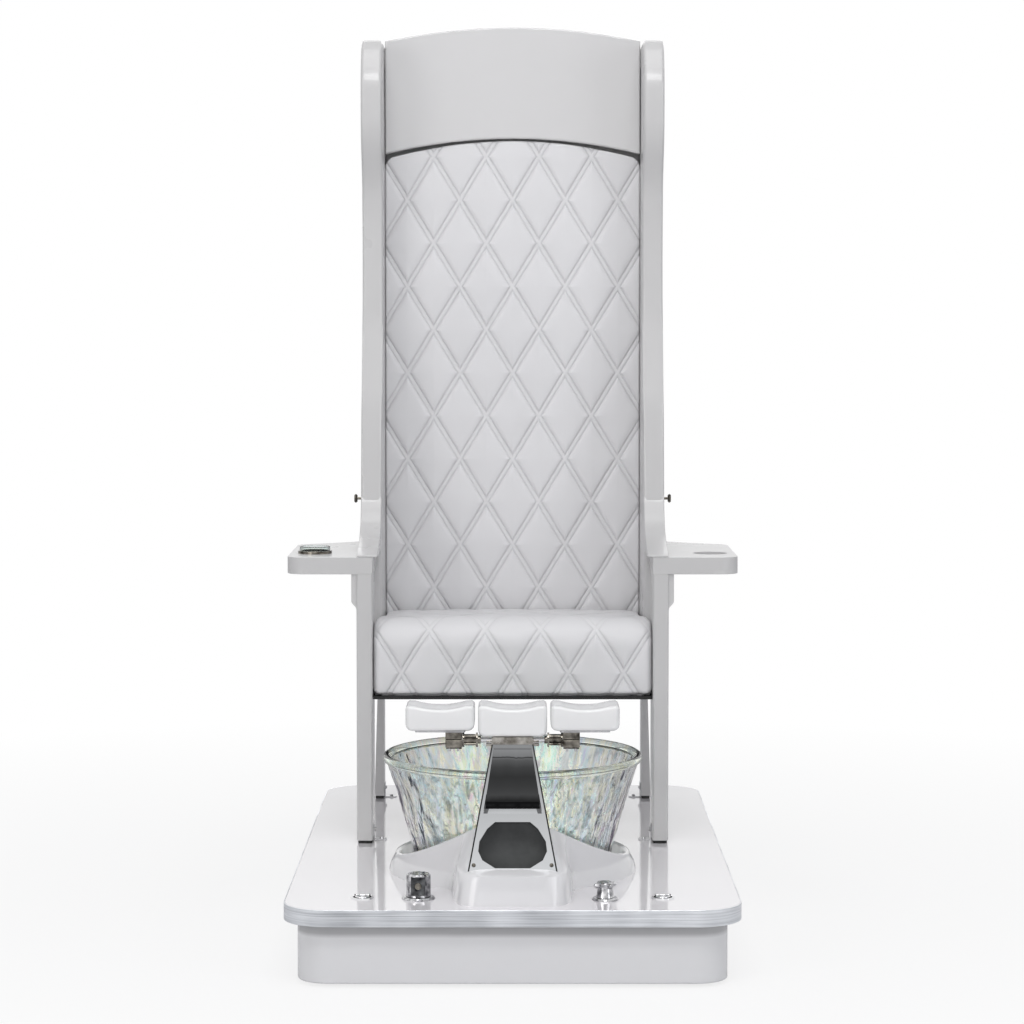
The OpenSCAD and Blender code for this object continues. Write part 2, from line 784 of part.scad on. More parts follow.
module mixer_plate() {
    color("silver")
    translate([mixer_at[0], mixer_at[1], z_deck]) difference() {
        cylinder(d1 = mixer_plate_d, d2 = mixer_plate_d - 6, h = plate_h, $fn = 72);
        post(mixer_stem_d + 1, -1, far);
    }
}

face_w = 24;
face_h = 31;
plug_d = 11;
face_y = -sqrt(knob_d * knob_d / 4 - face_w * face_w / 4);

module mixer_knob() {
    color("silver")
    translate([mixer_at[0], mixer_at[1], z_deck + plate_h + knob_gap]) difference() {
        union() {
            post(knob_d, 0, knob_h - 3);
            translate([0, 0, knob_h - 3]) cylinder(d1 = knob_d, d2 = knob_d - 6, h = 3, $fn = 72);
        }
        post(mixer_stem_d + 2 * run_fit, -1, knob_h - 10);
        translate([-face_w / 2, -far + face_y, (knob_h - face_h) / 2]) cube([face_w, far, face_h]);
        translate([0, face_y - 1, knob_h / 2]) rotate([-90, 0, 0]) cylinder(d = plug_d, h = 3, $fn = 48);
    }
}

module mixer_plug() {
    color("dimgray")
    translate([mixer_at[0], mixer_at[1] + face_y + 2, z_deck + plate_h + knob_gap + knob_h / 2]) rotate([90, 0, 0])
    difference() {
        cylinder(d = plug_d, h = 3.5, $fn = 48);
        translate([0, 0, 2.5]) cylinder(d = plug_d - 4, h = 2, $fn = 48);
    }
}

diverter_plate_d = 45;
diverter_stem_d = 6;
handle_h = 26;

module diverter_valve() {
    color("goldenrod")
    translate([diverter_at[0], diverter_at[1], z_deck])
        valve_body(diverter_neck_d, diverter_neck_d - 4, 36, diverter_stem_d, plate_h + handle_h - 10);
}

module diverter_plate() {
    color("silver")
    translate([diverter_at[0], diverter_at[1], z_deck]) difference() {
        cylinder(d1 = diverter_plate_d, d2 = diverter_plate_d - 6, h = plate_h, $fn = 72);
        post(diverter_stem_d + 1, -1, far);
    }
}

arm_reach = 22;
arm_d = 8;
arm_turn = 30;

module cross_handle() {
    color("silver")
    translate([diverter_at[0], diverter_at[1], z_deck + plate_h + knob_gap]) difference() {
        union() {
            cylinder(d1 = hub_d + 3, d2 = hub_d - 3, h = handle_h - 8, $fn = 64);
            translate([0, 0, handle_h - 8]) cylinder(d = hub_d, h = 5, $fn = 64);
            translate([0, 0, handle_h - 3]) cylinder(d1 = hub_d, d2 = hub_d - 8, h = 3, $fn = 64);
            for (a = [0:90:359]) rotate(a + arm_turn) translate([0, 0, handle_h - 6]) rotate([0, 90, 0]) {
                cylinder(d = arm_d, h = arm_reach - arm_d / 2, $fn = 32);
                translate([0, 0, arm_reach - arm_d / 2]) sphere(d = arm_d, $fn = 32);
            }
        }
        post(diverter_stem_d + 2 * run_fit, -1, handle_h - 8);
    }
}

// ---------- legs, brackets and side frames ----------

glide_h = 6;
arm_low = arm_z - arm_t;
leg_round = 4;

module front_legs() {
    color("white")
    both_sides() difference() {
        translate([x_leg - leg_t / 2, chair_f + leg_d / 2, z_deck + glide_h])
            linear_extrude(arm_low - glide_h) round_rect(leg_t, leg_d, leg_round);
        leg_screw_holes();
    }
}

rear_top = seat_z - 5;
rear_top_t = 11;

module rear_legs() {
    color("white")
    both_sides() difference() {
        translate([0, rear_leg_f + rear_leg_d, z_deck]) rotate([90, 0, 0]) linear_extrude(rear_leg_d)
            polygon([[rear_in_x, glide_h], [rear_in_x + rear_leg_t, glide_h],
            [rear_in_x + rear_top_t, rear_top], [rear_in_x, rear_top]]);
        leg_screw_holes();
    }
}

module leg_glides() {
    color("black")
    both_sides() {
        translate([x_leg - leg_t / 2, chair_f + leg_d / 2, z_deck]) linear_extrude(glide_h)
            round_rect(leg_t - 4, leg_d - 10, leg_round);
        translate([rear_in_x + rear_leg_t / 2, rear_leg_f + rear_leg_d / 2, z_deck]) linear_extrude(glide_h)
            round_rect(rear_leg_t - 3, rear_leg_d - 6, 3);
    }
}

module leg_screw_holes() {
    for (b = bracket_at) translate([b[0] - 1, b[1], z_deck + glide_h + bracket_l * 0.55]) rotate([0, 90, 0])
        cylinder(d = screw_d, h = 9, $fn = 32);
}

module leg_brackets() {
    color("silver")
    both_sides() for (b = bracket_at) difference() {
        translate([b[0], b[1] + bracket_w / 2, z_deck]) rotate([90, 0, 0]) linear_extrude(bracket_w)
            polygon([[0, 0], [-bracket_l, 0], [-bracket_l, bracket_t], [-bracket_t, bracket_t],
            [-bracket_t, bracket_l + glide_h], [0, bracket_l + glide_h]]);
        translate([b[0] - bracket_l * 0.6, b[1], z_deck]) post(screw_d, -1, 5);
        translate([b[0] - 5, b[1], z_deck + glide_h + bracket_l * 0.55]) rotate([0, 90, 0]) cylinder(d = screw_d, h = 9, $fn = 32);
    }
}

module pan_screw(l) {
    cylinder(d = screw_d, h = l + 1, $fn = 32);
    translate([0, 0, l]) cylinder(d1 = screw_head_d, d2 = screw_head_d - 3, h = screw_head_h, $fn = 48);
}

module bracket_screws() {
    color("silver")
    both_sides() for (b = bracket_at) {
        translate([b[0] - bracket_l * 0.6, b[1], z_deck - screw_l + bracket_t]) pan_screw(screw_l);
        translate([b[0] + 8 - bracket_t, b[1], z_deck + glide_h + bracket_l * 0.55]) rotate([0, -90, 0]) pan_screw(8);
    }
}

// The stile seen from the side, [distance behind the chair's front, height above the deck]
stile_low = seat_z;
stile_neck = 152;
stile_front = smooth([[stile_neck + 16, stile_low + 80], [stile_neck, arm_low - 30], [stile_neck, arm_z + 6], [158, arm_z + 40],
    [177, arm_z + 140], [197, arm_z + 300], [236, stile_h - 590], [255, stile_h - 500], [257, stile_h - 330],
    [240, stile_h - 262], [205, stile_h - 196], [197, stile_h - 140], [198, stile_h - 78], [222, stile_h - 22],
    [250, stile_h]], 3);
stile_rear = smooth([[440, stile_h], [446, stile_h - 300], [462, stile_h - 700], [500, seat_z + 220],
    [548, stile_low]], 4);
stile_outline = concat([[200, stile_low]], [for (i = [len(stile_rear) - 1:-1:0]) stile_rear[i]],
    [for (i = [len(stile_front) - 1:-1:0]) stile_front[i]]);
stile_round = 6;
hook_at = [242, 93];

module stile() {
    difference() {
        side_on(x_in) translate([chair_f, z_deck]) rounded_plate(stile_outline, len(stile_rear) + 1, stile_t, stile_round, 2);
        translate([x_leg - 12, chair_f + hook_at[0], z_deck + arm_z + hook_at[1]]) rotate([0, 90, 0])
            cylinder(d = 5, h = 20, $fn = 32);
    }
}

module left_stile() {
    color("white") mirror([1, 0, 0]) stile();
}

module right_stile() {
    color("white") stile();
}

rail_t = 24;
rail_h = 100;
rail_z = seat_z;

// Side rails between each front leg and its stile, under the seat's edge
module side_rails() {
    color("white")
    both_sides() translate([x_leg - rail_t, chair_f + leg_d, z_deck + rail_z]) difference() {
        cube([rail_t, stile_neck + 40 - leg_d, rail_h]);
        translate([-far, 0, -rail_z]) side_on(0) translate([-leg_d, 0]) linear_extrude(2 * far) polygon(stile_outline);
    }
}

arm_x1 = arm_span / 2;
arm_x0 = x_leg - leg_t;
arm_corner = 34;
arm_end = 315;
arm_seat = stile_neck - 2;
cup_at = [368, 100];

// The armrest in plan, [x, distance behind the chair's front]
arm_outline = concat([[arm_x0, 0]], arc(arm_x1 - arm_corner, arm_corner, arm_corner, -90, 0, 8),
    arc(arm_x1 - arm_corner, arm_end - arm_corner, arm_corner, 0, 60, 5),
    smooth([[arm_x1 - 42, arm_end + 8], [x_leg + 40, arm_end + 40], [x_leg + 8, arm_l - 8], [x_leg + snug, arm_l]], 3),
    [[x_leg + snug, arm_seat], [arm_x0, arm_seat]]);

module armrest() {
    difference() {
        translate([0, chair_f, z_deck + arm_low]) linear_extrude(arm_t) polygon(arm_outline);
        translate([cup_at[0], chair_f + cup_at[1], z_deck + arm_z]) post(cup_d, -cup_h, far);
    }
}

module left_armrest() {
    color("white") mirror([1, 0, 0]) armrest();
}

module right_armrest() {
    color("white") armrest();
}

corbel_out = 9.5;
corbel_h = 65;
corbel_l = 84;

module arm_corbels() {
    color("white")
    both_sides() translate([x_leg, chair_f + 4 + corbel_l, z_deck + arm_low]) rotate([90, 0, 0])
        linear_extrude(corbel_l) polygon(concat([[0, -corbel_h], [0, 0], [corbel_out, 0]],
        smooth([[corbel_out, -corbel_h + 18], [corbel_out - 1, -corbel_h + 12], [1.5, -corbel_h + 4], [0.4, -corbel_h]], 3)));
}

// ---------- back ----------

back_face = seat_depth;
board_t = 18;
board_gap = 1;
board_f = back_face + back_t;
back_half = x_in - 2;
arch_side = stile_h - 214;
arch_mid = stile_h - 184;
head_side = stile_h + 7;
head_mid = stile_h + 34;
arc_gap = 4;

module back_board() {
    color("white")
    translate([-x_in, chair_f + board_f, z_deck + stile_low]) cube([2 * x_in, board_t, stile_h - 40 - stile_low]);
}

// Height of a shallow arch over the back, from mid in the middle down to side at the stiles
function arch(x, side, mid) = side + (mid - side) * (1 - pow(x / x_in, 2));

head_outline = concat(
    [for (i = [-8:8]) let (x = i * (x_in - board_gap) / 8) [x, arch(x, arch_side, arch_mid) + arc_gap]],
    [for (i = [8:-1:-8]) let (x = i * (x_in - board_gap) / 8) [x, arch(x, head_side, head_mid)]]);
head_t = back_t + 6;

module headrest_panel() {
    color("whitesmoke")
    translate([0, chair_f + board_f, z_deck]) rotate([90, 0, 0]) rounded_plate(head_outline, len(head_outline) / 2, head_t, 4, 2);
}

// ---------- quilted cushions ----------

// Columns and rows are a third of half a diamond apart, so the channels run along the mesh
quilt_dx = quilt_w / 6;
quilt_dz = quilt_h / 6;
half_cols = 14;
// Height of the quilting over its channels at column i and row j of the lattice
function nearest(n) = let (m = ((n % 6) + 6) % 6) min(m, 6 - m);
function pillow(i, j) = let (d = min(nearest(i + j), nearest(i - j)) / 3) puff * (1 - pow(1 - d, 2));

// The two triangles of one cell, cut along the channel that crosses it
function cell(a, b, c, d, i, j) = (i + j + 1) % 6 == 0 || (i + j + 7) % 6 == 0
    ? [[a, c, b], [b, c, d]] : ((i - j) % 6 == 0 ? [[a, d, b], [a, c, d]]
    : (nearest(i + j + 1) < nearest(i - j) ? [[a, c, b], [b, c, d]] : [[a, d, b], [a, c, d]]));

// A closed quilted skin. face[j][i] is the front grid, outer and rear are the rims behind it
module quilted(face, outer, rear, hub, i0, j0) {
    rows = len(face) - 1;
    cols = len(face[0]) - 1;
    grid = [for (j = [0:rows]) for (i = [0:cols]) face[j][i]];
    edge = concat([for (i = [0:cols]) i], [for (j = [1:rows]) j * (cols + 1) + cols],
        [for (i = [cols - 1:-1:0]) rows * (cols + 1) + i], [for (j = [rows - 1:-1:1]) j * (cols + 1)]);
    n = len(edge);
    g = len(grid);
    fronts = [for (j = [0:rows - 1]) for (i = [0:cols - 1]) let (a = j * (cols + 1) + i, b = a + 1, c = a + cols + 1, d = c + 1)
        each cell(a, b, c, d, i + i0, j + j0)];
    rims = [for (k = [0:n - 1]) let (m = (k + 1) % n) each [[edge[k], edge[m], g + m], [edge[k], g + m, g + k],
        [g + k, g + m, g + n + m], [g + k, g + n + m, g + n + k]]];
    backs = [for (k = [0:n - 1]) let (m = (k + 1) % n) [g + n + k, g + n + m, g + 2 * n]];
    polyhedron(points = concat(grid, outer, rear, [hub]), faces = concat(fronts, rims, backs), convexity = 6);
}

// The rim points of a grid, in the order that quilted() walks them
function rim_of(rows, cols) = concat([for (i = [0:cols]) [i, 0]], [for (j = [1:rows]) [cols, j]],
    [for (i = [cols - 1:-1:0]) [i, rows]], [for (j = [rows - 1:-1:1]) [0, j]]);

function col_x(i, half, inset) = abs(i) < half_cols ? i * quilt_dx : sign(i) * (half - inset);

roll = 6;
back_z0 = arm_z - 4 - 5 * quilt_dz;
back_rows = floor((arch_side - 20 - back_z0) / quilt_dz) + 1;
back_crown = 4;

function back_z(i, j, inset) = j < back_rows ? (j == 0 ? back_z0 + inset : back_z0 + j * quilt_dz)
    : arch(col_x(i, back_half, inset), arch_side, arch_mid) - inset;
function on_rim(i, j, rows) = abs(i) == half_cols || j == 0 || j == rows;
function back_y(i, j) = on_rim(i, j, back_rows) ? roll
    : -back_crown * (1 - pow(i / half_cols, 2)) - pillow(i, j - 5) + puff;

module back_cushion() {
    rim = rim_of(back_rows, 2 * half_cols);
    color("whitesmoke")
    translate([0, chair_f + back_face, z_deck]) quilted(
        [for (j = [0:back_rows]) [for (i = [-half_cols:half_cols])
            [col_x(i, back_half, roll), back_y(i, j), back_z(i, j, roll)]]],
        [for (q = rim) let (i = q[0] - half_cols) [col_x(i, back_half, 0), back_t * 0.5, back_z(i, q[1], 0)]],
        [for (q = rim) let (i = q[0] - half_cols) [col_x(i, back_half, 4), back_t, back_z(i, q[1], 4)]],
        [0, back_t, (back_z0 + arch_mid) / 2], -half_cols, -5);
}

seat_half = x_leg - leg_t - soft_gap;
nose_r = 52;
seat_fall = 3;
seat_drop = 10.7;
seat_back = seat_depth - 14;
front_len = seat_h - nose_r;
nose_len = nose_r * PI / 2;
seat_rows = floor((front_len - seat_drop + nose_len + (seat_back - nose_r)) / quilt_dz);

// The seat's outline from its front foot, over the nose to the back, at the distance s; then its outward step
function seat_at(s) = s < front_len ? [0, s] : (s < front_len + nose_len
    ? let (a = 90 * (s - front_len) / nose_len) [nose_r * (1 - cos(a)), front_len + nose_r * sin(a)]
    : let (d = s - front_len - nose_len) [nose_r + d, seat_h - d * tan(seat_fall)]);
function seat_out(s) = s < front_len ? [-1, 0] : (s < front_len + nose_len
    ? let (a = 90 * (s - front_len) / nose_len) [-cos(a), sin(a)] : [sin(seat_fall), cos(seat_fall)]);

// The seat is narrower from where the stiles start
function seat_w(j) = seat_at(seat_s(j))[0] < stile_neck - 22 ? seat_half : x_in - soft_gap;
function seat_s(j) = j == 0 ? 4 : (j == seat_rows ? front_len + nose_len + seat_back - nose_r - roll
    : seat_drop + j * quilt_dz);
function seat_lift(i, j) = on_rim(i, j, seat_rows) ? -roll - 1 : 4 * (1 - pow(i / half_cols, 2)) + pillow(i, j - 1) - puff;

module seat_cushion() {
    rim = rim_of(seat_rows, 2 * half_cols);
    color("whitesmoke")
    translate([0, chair_f, z_deck + seat_z]) quilted(
        [for (j = [0:seat_rows]) [for (i = [-half_cols:half_cols])
            let (s = seat_s(j), p = seat_at(s) + seat_out(s) * seat_lift(i, j)) [col_x(i, seat_w(j), roll), p[0] + puff, p[1]]]],
        [for (q = rim) let (i = q[0] - half_cols, s = seat_s(q[1]), h = (q[1] == 0 ? 9 : 24),
            p = seat_at(max(s, 14)) - seat_out(max(s, 14)) * h)
            [col_x(i, seat_w(q[1]), 0), max(p[0], 0) + puff - 2, q[1] == 0 ? 3 : max(p[1], 8)]],
        [for (q = rim) let (i = q[0] - half_cols, p = seat_at(seat_s(q[1])))
            [col_x(i, seat_w(q[1]), 3), min(max(p[0] + 12, 12 + q[1]), seat_back), 0]],
        [0, seat_back / 2, 0], -half_cols, -1);
}

seat_board_t = 5;

module seat_board() {
    color("black")
    translate([0, chair_f, z_deck + seat_z - seat_board_t]) linear_extrude(seat_board_t) {
        translate([-seat_half, 8]) square([2 * seat_half, leg_d]);
        translate([-x_leg + 1, leg_d + 1]) square([2 * x_leg - 2, rear_leg_y + rear_leg_d - leg_d - 10]);
    }
}

// ---------- small fittings on the chair ----------

module hook_knobs() {
    color("dimgray")
    both_sides() translate([x_leg - 12, chair_f + hook_at[0], z_deck + arm_z + hook_at[1]]) rotate([0, 90, 0]) {
        cylinder(d = 5, h = 12 + hook_l - 4, $fn = 32);
        translate([0, 0, 12]) cylinder(d1 = 11, d2 = 8, h = 3, $fn = 48);
        translate([0, 0, 12 + hook_l - 6]) cylinder(d1 = hook_d - 5, d2 = hook_d, h = 3, $fn = 48);
        translate([0, 0, 12 + hook_l - 3 - eps]) cylinder(d1 = hook_d, d2 = hook_d - 4, h = 3, $fn = 48);
    }
}

collar_wall = 3;
collar_up = 5;
dish_up = 13;
dish_d = cup_d - 2 * collar_wall - 2 * run_fit;

module dish_collar() {
    color("dimgray")
    translate([-cup_at[0], chair_f + cup_at[1], z_deck + arm_z]) difference() {
        post(cup_d, -cup_h, collar_up);
        post(cup_d - 2 * collar_wall, -cup_h + 2, far);
    }
}

module dish_glass() {
    color("lightcyan", 0.6)
    translate([-cup_at[0], chair_f + cup_at[1], z_deck + arm_z]) difference() {
        post(dish_d, -cup_h + 2, dish_up);
        translate([0, 0, -cup_h + 6]) cylinder(d1 = dish_d - 14, d2 = dish_d - 6, h = 6, $fn = 64);
        post(dish_d - 6, -cup_h + 12 - eps, far);
    }
}

plinth();
plinth_joists();
plinth_feet();
deck_board();
deck_band();
left_ring_cup();
right_ring_cup();
left_ring();
right_ring();
spa_base();
bowl_gasket();
glass_bowl();
drain_flange();
drain_washer();
drain_nut();
drain_tailpiece();
drain_stopper();
column();
column_screws();
footrest_bar();
footrest_rod();
rod_frames();
centre_pad();
left_pad();
right_pad();
left_pad_plate();
right_pad_plate();
left_hinge_block();
right_hinge_block();
hinge_set_screws_left();
hinge_set_screws_right();
mixer_valve();
mixer_plate();
mixer_knob();
mixer_plug();
diverter_valve();
diverter_plate();
cross_handle();
front_legs();
rear_legs();
leg_glides();
leg_brackets();
bracket_screws();
left_stile();
right_stile();
side_rails();
left_armrest();
right_armrest();
arm_corbels();
back_board();
headrest_panel();
back_cushion();
seat_board();
seat_cushion();
hook_knobs();
dish_collar();
dish_glass();
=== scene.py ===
# %% [markdown]
# # A pedicure spa chair, dressed in Blender
# The chair stands on a low white deck with a glass foot bowl in front of it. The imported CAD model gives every
# rigid solid at its true place, in metres. This lesson adds what CAD leaves out: quilted cushions with their
# stitching, rippled iridescent glass, softened edges, and a finish for each surface.

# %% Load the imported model
import json
import math
import bmesh
import bpy
import numpy as np
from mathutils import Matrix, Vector, noise

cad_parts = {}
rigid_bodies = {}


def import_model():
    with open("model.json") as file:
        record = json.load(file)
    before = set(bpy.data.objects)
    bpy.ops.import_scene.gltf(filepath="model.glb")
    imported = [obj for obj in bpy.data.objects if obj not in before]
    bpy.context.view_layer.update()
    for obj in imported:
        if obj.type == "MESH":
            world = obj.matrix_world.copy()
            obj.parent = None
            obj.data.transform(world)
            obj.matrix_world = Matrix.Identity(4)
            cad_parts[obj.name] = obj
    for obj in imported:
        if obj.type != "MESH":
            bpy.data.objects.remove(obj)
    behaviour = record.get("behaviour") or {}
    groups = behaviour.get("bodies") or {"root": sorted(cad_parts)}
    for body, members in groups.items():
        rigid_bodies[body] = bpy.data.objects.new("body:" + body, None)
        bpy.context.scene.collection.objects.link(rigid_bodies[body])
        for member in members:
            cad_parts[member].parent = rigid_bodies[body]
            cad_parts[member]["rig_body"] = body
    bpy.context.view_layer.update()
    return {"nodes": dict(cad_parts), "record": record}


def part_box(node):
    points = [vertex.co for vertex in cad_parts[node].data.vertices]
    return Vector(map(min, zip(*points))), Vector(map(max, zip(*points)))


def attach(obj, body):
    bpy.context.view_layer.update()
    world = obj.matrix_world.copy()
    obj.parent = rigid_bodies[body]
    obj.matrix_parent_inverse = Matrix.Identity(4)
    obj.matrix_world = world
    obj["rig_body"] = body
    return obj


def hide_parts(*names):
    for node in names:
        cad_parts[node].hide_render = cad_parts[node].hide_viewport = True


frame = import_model()
nodes = frame["nodes"]
scene = bpy.context.scene

# %% [markdown]
# ## The camera
# The chair is seen straight from the front with a long lens, from a little over the armrests. The camera tilts
# down by three degrees, so little that upright edges stay upright to the eye, and a small shift of the lens does
# the rest of the framing.

# %% Front camera
EYE_HEIGHT = 1.111
EYE_BACK = 5.372
TILT = 3.128
camera_data = bpy.data.cameras.new("front_camera")
camera_data.sensor_width = 36.0
camera_data.lens = 102.94
camera_data.shift_x = -0.0006
camera_data.shift_y = -0.04
camera_data.clip_end = 60
camera = bpy.data.objects.new("front_camera", camera_data)
camera.location = (0.0, -EYE_BACK, EYE_HEIGHT)
camera.rotation_euler = (math.radians(90 - TILT), 0.0, 0.0)
scene.collection.objects.link(camera)
scene.camera = camera
scene.view_settings.view_transform = "Standard"
print("camera at", tuple(camera.location), "lens", camera_data.lens)

# %% [markdown]
# ## The studio
# White objects need light that models them without burning out, so large soft lamps stand to both sides and over
# the chair. The white ground behind is only what the camera, mirrors and glass see: the light on the chair comes
# from the lamps and a grey world. Dark sheets behind and beside the camera show only in reflections, so chrome has
# something to mirror.

# %% Helpers that build and join nodes
def new_tree(owner):
    owner.use_nodes = True
    owner.node_tree.nodes.clear()
    return owner.node_tree


def add(tree, kind, values=(), **settings):
    """A node with its properties set. Each input, by name or number, takes a value or a link from a socket."""
    node = tree.nodes.new(kind)
    for key, value in settings.items():
        setattr(node, key, value)
    for key, value in dict(values).items():
        if isinstance(value, bpy.types.NodeSocket):
            tree.links.new(value, node.inputs[key])
        else:
            node.inputs[key].default_value = value
    return node


def calc(tree, operation, *terms):
    return add(tree, "ShaderNodeMath", dict(enumerate(terms)), operation=operation).outputs[0]


def spread(tree, value, low, high, to_low=0.0, to_high=1.0):
    """Spreads a range of values over another range, and holds what lies beyond at its ends."""
    ranges = {"From Min": low, "From Max": high, "To Min": to_low, "To Max": to_high}
    return add(tree, "ShaderNodeMapRange", {"Value": value, **ranges}).outputs["Result"]


def noise_field(tree, where, scale, detail=2.0, roughness=0.5, distortion=0.0):
    return add(tree, "ShaderNodeTexNoise", {"Vector": where, "Scale": scale, "Detail": detail, "Roughness": roughness,
                                            "Distortion": distortion}).outputs["Fac"]


def blend(tree, share, first, second, how="MIX"):
    return add(tree, "ShaderNodeMix", {0: share, 6: first, 7: second}, data_type="RGBA", blend_type=how).outputs[2]


def ramp(tree, at, stops, interpolation="LINEAR"):
    """A colour ramp from stops that each give a position and either a colour or a grey."""
    node = add(tree, "ShaderNodeValToRGB", {"Fac": at})
    node.color_ramp.interpolation = interpolation
    colors = [(stop, (*tone, 1) if isinstance(tone, tuple) else (tone, tone, tone, 1)) for stop, tone in stops]
    ends = node.color_ramp.elements
    for end, (stop, color) in zip(ends, (colors[0], colors[-1])):
        end.position, end.color = stop, color
    for stop, color in colors[1:-1]:
        ends.new(stop).color = color
    return node.outputs["Color"]


def object_place(tree):
    return add(tree, "ShaderNodeTexCoord").outputs["Object"]


# %% World and lamps
WHITE_SEEN = 1.0
AMBIENT = 0.42
world = bpy.data.worlds.new("studio_world")
scene.world = world
tree = new_tree(world)
rays = add(tree, "ShaderNodeLightPath").outputs
seen_or_mirrored = calc(tree, "MAXIMUM", rays["Is Camera Ray"], rays["Is Glossy Ray"])
any_clear_ray = calc(tree, "MAXIMUM", seen_or_mirrored, rays["Is Transmission Ray"])
lit = add(tree, "ShaderNodeBackground", {"Color": (0.96, 0.97, 1.0, 1), "Strength": AMBIENT})
seen = add(tree, "ShaderNodeBackground", {"Color": (1, 1, 1, 1), "Strength": WHITE_SEEN})
choose = add(tree, "ShaderNodeMixShader", {0: any_clear_ray, 1: lit.outputs[0], 2: seen.outputs[0]})
add(tree, "ShaderNodeOutputWorld", {0: choose.outputs[0]})


def soft_lamp(name, place, target, size, power, tint=(1, 1, 1)):
    data = bpy.data.lights.new(name, "AREA")
    data.shape = "RECTANGLE"
    data.size, data.size_y = size
    data.energy = power
    data.color = tint
    lamp = bpy.data.objects.new(name, data)
    lamp.location = place
    lamp.rotation_euler = (Vector(target) - Vector(place)).to_track_quat("-Z", "Y").to_euler()
    scene.collection.objects.link(lamp)


soft_lamp("lamp_left", (-2.6, -3.6, 1.65), (0, 0, 0.6), (1.6, 2.2), 31, (1.0, 0.985, 0.97))
soft_lamp("lamp_right", (2.9, -3.0, 1.5), (0, 0, 0.6), (1.6, 2.2), 21, (0.97, 0.985, 1.0))
soft_lamp("lamp_over", (0.0, -0.9, 3.8), (0, -0.2, 0.4), (2.2, 1.6), 20)
soft_lamp("lamp_front_over", (0.0, -2.7, 3.4), (0, -0.5, 0.0), (1.8, 0.7), 32)
soft_lamp("lamp_back", (0.0, 3.0, 2.6), (0, 0.3, 0.8), (2.0, 1.6), 14)

# %% Floor, and a dark wall and two dark cards that only mirrors see
FLOOR_HALF = 14.0


def flat_sheet(name, corners):
    mesh = bpy.data.meshes.new(name)
    mesh.from_pydata(corners, [], [(0, 1, 2, 3)])
    sheet = bpy.data.objects.new(name, mesh)
    scene.collection.objects.link(sheet)
    return sheet


floor = flat_sheet("studio_floor", [(-FLOOR_HALF, -FLOOR_HALF, 0), (FLOOR_HALF, -FLOOR_HALF, 0),
                                    (FLOOR_HALF, FLOOR_HALF, 0), (-FLOOR_HALF, FLOOR_HALF, 0)])
floor_paint = bpy.data.materials.new("floor_white")
tree = new_tree(floor_paint)
paint = add(tree, "ShaderNodeBsdfDiffuse", {"Color": (0.86, 0.86, 0.87, 1)})
glow = add(tree, "ShaderNodeEmission", {"Color": (1, 1, 1, 1), "Strength": 1.0})
away = add(tree, "ShaderNodeVectorMath", {0: object_place(tree)}, operation="LENGTH").outputs["Value"]
only_seen = add(tree, "ShaderNodeLightPath").outputs["Is Camera Ray"]
share = calc(tree, "MULTIPLY", only_seen, spread(tree, away, 0.6, 2.6, 0.80, 1.0))
mix = add(tree, "ShaderNodeMixShader", {0: share, 1: paint.outputs[0], 2: glow.outputs[0]})
add(tree, "ShaderNodeOutputMaterial", {0: mix.outputs[0]})
floor.data.materials.append(floor_paint)

wall_paint = bpy.data.materials.new("wall_dark")
tree = new_tree(wall_paint)
paint = add(tree, "ShaderNodeBsdfDiffuse", {"Color": (0.035, 0.035, 0.04, 1)})
add(tree, "ShaderNodeOutputMaterial", {0: paint.outputs[0]})
dark_sheets = [flat_sheet("dark_wall", [(-2.6, -7.6, 3.0), (2.6, -7.6, 3.0), (2.6, -7.6, 5.2), (-2.6, -7.6, 5.2)])]
for side, x in (("left", -3.2), ("right", 3.2)):
    corners = [(x, -5.2, 0.02), (x, -3.4, 0.02), (x, -3.4, 2.4), (x, -5.2, 2.4)]
    dark_sheets.append(flat_sheet("dark_card_" + side, corners))
for sheet in dark_sheets:
    sheet.data.materials.append(wall_paint)
    sheet.visible_camera = False
    sheet.visible_diffuse = False
    sheet.visible_shadow = False
    sheet.visible_transmission = False
print("stage:", floor.name, [sheet.name for sheet in dark_sheets])

# %% [markdown]
# ## Finishes
# Real surfaces are never one flat value. Four node groups carry what several finishes share: a slow cloud of
# colour and gloss, the pebble of leather, the lines of brushed steel over patches of painted reflection, and the
# drifting tints of a coated glass crossed by streaks of painted reflection.
# Each group puts out colours and values only, and the shader itself stays in the material.

# %% Helpers for node groups
COLOR, VALUE = "NodeSocketColor", "NodeSocketFloat"
COMMON_IN = [(COLOR, "Light", (0.9, 0.9, 0.9, 1)), (COLOR, "Dark", (0.8, 0.8, 0.8, 1)), (VALUE, "Scale", 6.0),
             (VALUE, "Smooth", 0.1), (VALUE, "Rough", 0.3)]
COMMON_OUT = [(COLOR, "Color"), (VALUE, "Roughness"), (VALUE, "Height")]


def make_group(name, inputs, outputs):
    """An empty node group, and the sockets that bring its inputs."""
    group = bpy.data.node_groups.new(name, "ShaderNodeTree")
    for kind, label, value in inputs:
        group.interface.new_socket(label, in_out="INPUT", socket_type=kind).default_value = value
    for kind, label in outputs:
        group.interface.new_socket(label, in_out="OUTPUT", socket_type=kind)
    return group, add(group, "NodeGroupInput").outputs


def put_out(group, given, darkness, wear, height):
    """The common outputs: a colour from light to dark, a roughness from smooth to rough, and a height."""
    color = blend(group, darkness, given["Light"], given["Dark"])
    rough = add(group, "ShaderNodeMix", {0: wear, 2: given["Smooth"], 3: given["Rough"]}, data_type="FLOAT")
    add(group, "NodeGroupOutput", {"Color": color, "Roughness": rough.outputs[0], "Height": height})


